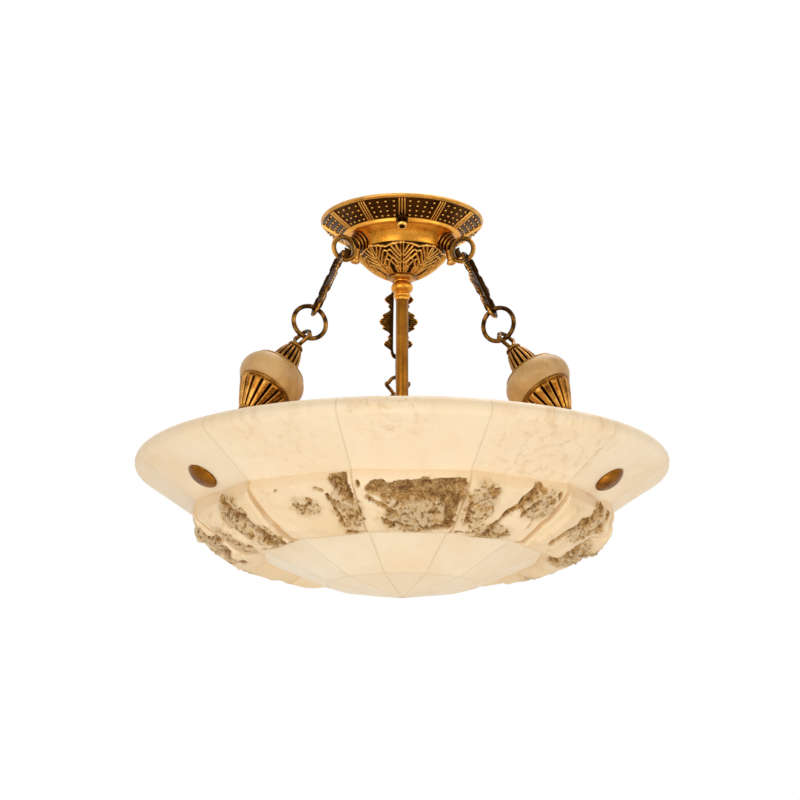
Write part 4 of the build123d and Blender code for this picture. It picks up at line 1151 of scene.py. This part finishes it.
def make_hooks():
    start, end = (44.0, -27.0), (55.0, -34.5)
    length, direction = reach_of(start, end)
    outline = [(0, 0.5), (10.4, 0.5)]
    pitch = (length - 0.5) / 4
    for index in range(4):
        low = 10.6 - 1.25 * index
        base = 0.5 + index * pitch
        top = base + pitch
        outline += arc((low - 0.7, base), (low + 0.4, base + pitch / 2), (low - 1.3, top), 6)
    outline += [(0, length)]
    barrel = lathe("barrel", outline, 48)
    # Bright on each turn's crest and dark in the grooves: patina with painted highlight and painted
    # shade.
    write_patina_and_shading(barrel, [
        0.9 * sin((v.co.z / MM - 0.5) / pitch * 2 * pi - 0.6) - 0.1 for v in barrel.data.vertices
    ])
    barrel.data.transform(along(start, direction))

    loop = bent_ring(
        "loop",
        lambda a: (LOOP_RADIUS * cos(a), LOOP_RADIUS * sin(a)),
        lambda a: LOOP_WIRE,
        lambda a: 3.0 + 0.7 * cos(a - radians(150)),
    )
    # The loop's outer crest lighter: painted highlight together with rubbed wear; the sides darker
    # with painted shade.
    outer_crest = (LOOP_RADIUS, LOOP_RADIUS + 1.5)
    write_patina_and_shading(loop, [
        1.3 * bell(v.co.z / MM, 1.5) * step_up(*outer_crest, v.co.xy.length / MM) - 0.55
        for v in loop.data.vertices
    ])
    x, z = beyond(HOOK_WIRE, CHAIN_DOWN, -LOOP_RADIUS)
    loop.data.transform(Matrix.Translation((x * MM, 0, z * MM)) @ UPRIGHT)

    outline = drawn(
        (0, 0), (3.3, 0), (3.5, 14.3), ((4.5, 15.6), (4.2, 17.0), 5),
        (3.3, 17.3), (2.6, 16.6), (0, 16.4),
    )
    foot = lathe("foot", outline, 32)
    foot.data.transform(along((50.0, -35.5), (0.20, -0.98)))
    # The lower end of the foot lighter: a painted reflection of the glowing bowl; the rest darker.
    write_patina_and_shading(foot, [0.6 if v.co.z / MM < -49.0 else -0.35 for v in foot.data.vertices])
    hook = smooth(coat(joined("hook", [barrel, loop, foot]), "antique_brass"), 35.0)
    for side, azimuth in SUSPENSION.items():
        piece = copied(hook, f"cast_hook_{side}", turn(azimuth))
        hang(piece, f"canopy_hook_{side}")
    drop(hook)


def make_thumb_screws():
    outline = drawn(
        (0, KNOB_SEAT + 0.2), (5.8, KNOB_SEAT), (5.8, KNOB_SEAT + 1.6), (5.0, KNOB_SEAT + 2.4),
        (5.0, KNOB_LENGTH - 3.0), ((4.3, KNOB_LENGTH - 1.0), (2.9, KNOB_LENGTH - 0.3), 6),
        (2.3, KNOB_LENGTH - 1.0), (0, KNOB_LENGTH - 0.8),
    )
    knob = lathe("knob", outline, 48, 0.2)
    # Painted highlight on the ring round the knob's end and painted shade down its barrel.
    write_patina_and_shading(knob, [
        0.9 if v.co.z / MM > KNOB_LENGTH - 2.2 and hypot(v.co.x, v.co.y) / MM > 2.5 else -0.8
        for v in knob.data.vertices
    ])
    top = KNOB_SEAT + 0.6
    shank = lathe("shank", [(0, -8.0), (1.9, -8.0), (2.3, -7.4), (2.3, top), (0, top)], 24)
    write_patina_and_shading(shank, [-0.3] * len(shank.data.vertices))
    screw = smooth(coat(joined("screw", [knob, shank]), "antique_brass"), 40.0)
    for side, azimuth in LAMPS.items():
        place = turn(CANOPY_TURN + azimuth) @ along(SCREW_SEAT, BAND_OUT)
        piece = copied(screw, f"turned_screw_{side}", place)
        hang(piece, f"thumb_screw_{side}")
    drop(screw)


# ---------------------------------------------------------------- stem and lamps

def make_stem():
    outline = drawn(
        (5.1, -61.0), (7.6, -61.0), ((7.9, -62.2), (6.6, -63.4), 5),
        ((10.65, -68.6), (7.4, -73.4), 12),
        ((6.9, -74.2), (7.4, -75.0), 4), ((8.4, -76.6), (7.2, -78.2), 5),
        (6.6, -79.0), (6.6, -81.0), (5.1, -81.0), (5.1, -61.0),
    )
    knob = smooth(coat(lathe("turned_knob", outline, 64), "satin_brass"), 35.0)
    hang(knob, "stem_knob")
    outline = [(STEM_BORE, STEM_TOP), (STEM_RADIUS, STEM_TOP)]
    outline += [(STEM_RADIUS, HUB_TOP), (STEM_BORE, HUB_TOP), (STEM_BORE, STEM_TOP)]
    stem = smooth(coat(lathe("brass_stem", outline, 48, 0.3), "brown_brass"), 35.0)
    hang(stem, "stem_tube")


def lying(azimuth):
    """Placement of a lampholder: its +Z runs out from the hub."""
    return turn(azimuth) @ along((HOLDER_START, LAMP_Z), (1, 0))


def make_lamps():
    outline = drawn(
        (5.0, HUB_TOP), (8.6, HUB_TOP), ((10.6, HUB_TOP - 4.5), (17, HUB_TOP - 7), 8),
        (17, HUB_TOP - 25), ((12, HUB_TOP - 30.5), (3.0, HUB_TOP - 31.8), 10), (0, HUB_TOP - 32),
    )
    hub = lathe("hub", outline, 64, 0.3)
    arms = []
    for azimuth in LAMPS.values():
        arm = lathe("arm", [(0, -6), (5.5, -6), (5.5, 0), (6.2, 0.4), (6.2, 1.2), (0, 1.2)], 32)
        arm.data.transform(lying(azimuth))
        arms.append(arm)
    hub = smooth(coat(joined("turned_hub", [hub, *arms]), "antique_brass"), 35.0)
    hang(hub, "lamp_hub")

    outline = [(0, 0.3), (7.0, 0.3), (9.0, 6.0), (12.0, 12.0)]
    for index in range(5):
        low = 12.0 + index * 3.6
        outline += [(12.0, low + 1.2), (11.3, low + 1.8), (11.3, low + 2.6), (12.0, low + 3.2)]
    outline += [(12.0, 31.0), (13.5, 31.4), (13.5, 41.0), (7.3, 41.0), (7.3, 15.5), (0, 15.5)]
    holder = smooth(coat(lathe("holder", outline, 64, 0.25), "holder_ceramic"), 40.0)
    outline = [(0, 16), (3.0, 16), (6.8, 19)]
    for index in range(5):
        low = 20.0 + index * 3.6
        outline += [(6.3, low), (6.8, low + 1.2), (6.8, low + 1.8), (6.3, low + 3.0)]
    glass = (((10.5, 50.0), (16.0, 56.5), 8), ((22.5, 71.5), (0, 94.0), 24))
    outline += drawn((6.8, 41.0), (7.2, 42.0), *glass)
    bulb = smooth(coat(lathe("bulb", outline, 64), "frosted_glass", "zinc_steel"), 40.0)
    for face in bulb.data.polygons:
        face.material_index = 1 if face.center.z / MM < 41.5 else 0
    for side, azimuth in LAMPS.items():
        piece = copied(holder, f"ribbed_holder_{side}", lying(azimuth))
        hang(piece, f"lampholder_{side}")
        piece = copied(bulb, f"globe_bulb_{side}", lying(azimuth))
        hang(piece, f"bulb_{side}")
    drop(holder, bulb)


# ---------------------------------------------------------------- chains

def link_border(tip):
    """Quarter of the leafed border, from the top to the side."""
    return (
        (0.0, tip - 0.6), (4.4, tip - 1.5), (7.0, tip - 4.8), (7.7, tip - 9.0), (7.9, 29.0),
        (9.4, 27.0), (12.9, 25.2), (14.6, 22.4), (12.6, 19.6), (9.8, 17.6), (11.0, 15.4),
        (8.8, 12.4), (10.6, 10.4), (13.4, 8.8), (16.4, 7.0), (15.6, 4.4), (18.4, 2.4), (19.4, 0.0),
    )


def on_line(points, share):
    """Point at a share of a smooth line through points."""
    spans = len(points) - 1
    index = min(spans - 1, int(share * spans))
    t = share * spans - index
    around = (points[min(spans, max(0, index + step))] for step in (-1, 0, 1, 2))

    def curve(p, q, r, s):
        bend, twist = 2 * p - 5 * q + 4 * r - s, 3 * q - p - 3 * r + s
        return 0.5 * (2 * q + (r - p) * t + bend * t * t + twist * t**3)

    return tuple(curve(*values) for values in zip(*around))


def make_links():
    slot_top = LOOP_WIRE + LINK_GAP
    slot_end = LINK_REACH + RING_WIRE + LINK_GAP
    half = (slot_end + slot_top) / 2
    middle = (slot_end - slot_top) / 2
    border = link_border(half + LINK_END)
    slot = (
        (0.0, half), (2.6, half - 0.7), (4.2, half - 2.0), (5.0, half - 6.0), (5.1, half - 12.0),
        (5.2, 12.0), (5.2, 6.0), (5.2, 0.0),
    )
    link = hoop("link", 288, 24)
    tones = []
    for vertex in link.data.vertices:
        x, y, z = vertex.co
        share = atan2(abs(x), abs(y)) / (pi / 2)
        off = max(-1.0, min(1.0, (hypot(x, y) - 1.0) / 0.25))
        outer = on_line(border, share)
        inner = on_line(slot, share)
        width = hypot(outer[0] - inner[0], outer[1] - inner[1])
        mix = 0.5 + 0.5 * off
        spot = [i + (o - i) * mix for i, o in zip(inner, outer)]
        leafy = step_up(4.6, 7.5, width)
        reach = mix * width
        rail = LINK_THICKNESS / 2
        thick = rail + leafy * (LEAF_THICKNESS / 2 - rail) * 0.45 * bell(reach - 2.6, 1.6)
        thick *= 1.0 - leafy * 0.72 * step_up(0.30, 1.0, mix)
        swell = 1.0 - off * off
        section = abs(z) / 0.25 / max(0.05, swell**0.5) if abs(off) < 0.999 else 0.0
        rounded = min(1.0, swell ** (0.5 - 0.25 * leafy)) * section
        wave = cos(share * 19 * 2 * pi + 5.0 * mix)
        carve = 1.0 + leafy * step_up(0.30, 0.55, mix) * (0.20 * wave - 0.08)
        depth = rounded * thick * carve * (1 if z > 0 else -1)
        # Dark patina over the link, with painted highlights along its outer edges and on the leaf
        # tips.
        edge = 1.5 * step_up(0.84, 0.98, mix) * (0.35 + 0.65 * max(0.0, wave))
        tones.append(-0.85 + edge + leafy * 0.5 * max(0.0, wave) * step_up(0.35, 0.6, mix))
        sides = (1 if x >= 0 else -1, 1 if y >= 0 else -1)
        vertex.co = Vector((spot[0] * sides[0], spot[1] * sides[1], depth)) * MM
    write_patina_and_shading(link, tones)
    tidy(link)
    smooth(coat(link, "antique_brass"), 60.0)

    ring = bent_ring(
        "ring",
        lambda a: (RING_RADIUS * cos(a), RING_RADIUS * sin(a)),
        lambda a: RING_WIRE,
        lambda a: RING_WIRE,
        96,
        18,
    )
    write_patina_and_shading(ring, [-0.62 + 0.5 * noise.noise(v.co * 160.0) for v in ring.data.vertices])
    smooth(coat(ring, "antique_brass"), 60.0)
    link_at = beyond(HOOK_WIRE, CHAIN_DOWN, middle)
    ring_at = beyond(HOOK_WIRE, CHAIN_DOWN, LINK_REACH + RING_RADIUS)
    for side, azimuth in SUSPENSION.items():
        twist = Matrix.Rotation(radians(CHAIN_TWIST[side]), 4, "Z")
        place = turn(azimuth) @ along(link_at, CHAIN_DOWN) @ twist @ QUARTER @ UPRIGHT
        hang(copied(link, f"leafed_link_{side}", place), f"chain_link_{side}")
        place = turn(azimuth) @ along(ring_at, CHAIN_DOWN) @ twist @ UPRIGHT
        hang(copied(ring, f"round_ring_{side}", place), f"chain_ring_{side}")
    drop(link, ring)


def fluting(count, low, high, depth, sharp, raised, crest):
    """Flutes cut down a turned piece between two heights, dark inside with patina and painted
    shade, and bright between with painted highlights.
    """

    def height(point, normal):
        if not low - 0.5 < point.z < high + 0.5 or abs(normal.z) > 0.96:
            return 0.0, -0.45
        phase = (degrees(atan2(point.y, point.x)) / 360.0 * count) % 1.0
        groove = bell((phase - 0.5) * 2, 0.34 * sharp)
        ends = step_up(low, low + 1.6, point.z) * (1.0 - step_up(high - 1.6, high, point.z))
        return (raised * (1 - groove) - depth * groove) * ends, (crest - 1.5 * groove) * ends - 0.1

    return height


def make_finials():
    axis = along(BALL, FINIAL_UP)
    seat = STONE_HALF
    bell_low = seat + 3.5
    bell_high = bell_low + BELL_HEIGHT
    arch_top = EYE_HEIGHT + RING_WIRE + EYE_BAR + EYE_GAP
    neck = bell_high + 5.0

    outline = drawn(
        (0, seat), (STONE_EDGE, seat), ((25.6, seat + 1.6), (23.5, seat + 2.2), 5),
        ((20.4, seat + 1.7), (17.5, seat + 2.4), 6), ((15.4, seat + 2.5), (13.5, bell_low), 5),
        ((11.6, (bell_low + bell_high) / 2), (7.0, bell_high), 30), (6.0, bell_high + 0.5),
        ((7.6, bell_high + 2.2), (6.0, bell_high + 3.7), 8), (5.0, bell_high + 4.2),
        (5.0, neck), (0, neck),
    )
    cap = lathe("cap", outline, 168)
    emboss(cap, fluting(16, bell_low + 0.3, bell_high - 0.3, 1.5, 1.1, 0.8, -0.05))

    stirrup = (
        (3.2, neck - 1.4), (6.2, neck + 3.2), (EYE_HALF_WIDTH, neck + 8.6),
        (EYE_HALF_WIDTH + 0.4, neck + 11.0), (9.3, arch_top - 6.4),
        (5.6, arch_top - 1.7), (0.0, arch_top),
    )

    def share_at(a):
        return 1.0 - abs((a - pi / 2 + pi) % (2 * pi) - pi) / pi

    def eye_path(a):
        share = share_at(a)
        side = 1 if cos(a) >= 0 else -1
        if share < 0.12:
            return (side * 3.2 * share / 0.12, neck - 1.4)
        across, height = on_line(stirrup, (share - 0.12) / 0.88)
        return (side * across, height)

    def eye_half(a):
        return EYE_BAR * (1.0 + 0.12 * bell(share_at(a) - 0.55, 0.10))

    eye = bent_ring("eye", eye_path, eye_half, eye_half, 120, 16)
    write_patina_and_shading(eye, [-0.6 + 0.4 * noise.noise(v.co * 150.0) for v in eye.data.vertices])
    eye.data.transform(QUARTER @ UPRIGHT)
    coat(cap, "antique_brass")
    coat(eye, "antique_brass")

    belly = ((STONE_RADIUS, 0), (STONE_EDGE, -seat), 28)
    bore = ((ROD_BORE, -seat), (ROD_BORE, seat))
    outline = drawn((ROD_BORE, seat), (STONE_EDGE, seat), belly, *bore)
    stone = smooth(coat(lathe("stone", outline, 96, 0.5), "banded_stone"), 40.0)

    outline = drawn(
        (ROD_BORE, -seat), (25.4, -seat), ((25.6, -seat - 1.4), (23.6, -seat - 3.0), 6),
        ((17.4, -seat - 15.0), (9.0, CUP_LOW + 4.0), 36),
        ((9.8, CUP_LOW + 2.6), (9.0, CUP_LOW + 1.2), 5),
        (8.2, CUP_LOW), (ROD_BORE, CUP_LOW), (ROD_BORE, -seat),
    )
    cup = lathe("cup", outline, 224)
    emboss(cup, fluting(16, CUP_LOW + 4.4, -seat - 3.1, 1.7, 0.75, 0.9, 0.25))
    smooth(coat(cup, "antique_brass"), 50.0)

    wall = -WALL_REACH
    domed = ((NUT_RADIUS * 0.62, wall - 4.7), (0, wall - NUT_DOME), 14)
    outline = drawn((0, wall), (NUT_RADIUS, wall), (NUT_RADIUS, wall - 1.0), domed)
    nut = smooth(coat(lathe("nut", outline, 64, 0.3), "brown_brass"), 50.0)

    nuts = []
    for side, azimuth in SUSPENSION.items():
        place = turn(azimuth) @ axis
        twisted = place @ Matrix.Rotation(radians(EYE_TURN[side]), 4, "Z")
        halves = [copied(cap, "cap", place), copied(eye, "eye", twisted)]
        head = joined(f"fluted_cap_{side}", halves)
        hang(smooth(head, 50.0), f"finial_cap_{side}")
        hang(copied(stone, f"turned_stone_{side}", place), f"finial_stone_{side}")
        hang(copied(cup, f"gadroon_cup_{side}", place), f"finial_cup_{side}")
        nuts.append(copied(nut, "domed_nut", place))
    hang(joined("domed_nuts", nuts), "cap_nuts")
    drop(cap, eye, stone, cup, nut)


def dress_plain_nodes():
    """Give every CAD piece that still shows the finish of its slot."""
    for name, node in frame["nodes"].items():
        if not node.hide_render:
            coat(node, SLOT_OF[name])


set_the_camera()
light_the_room()
make_smooth_tiers()
make_split_tier()
make_canopy()
make_dome()
make_hooks()
make_thumb_screws()
make_stem()
make_lamps()
make_links()
make_finials()
dress_plain_nodes()

bpy.context.scene.view_settings.view_transform = "Standard"
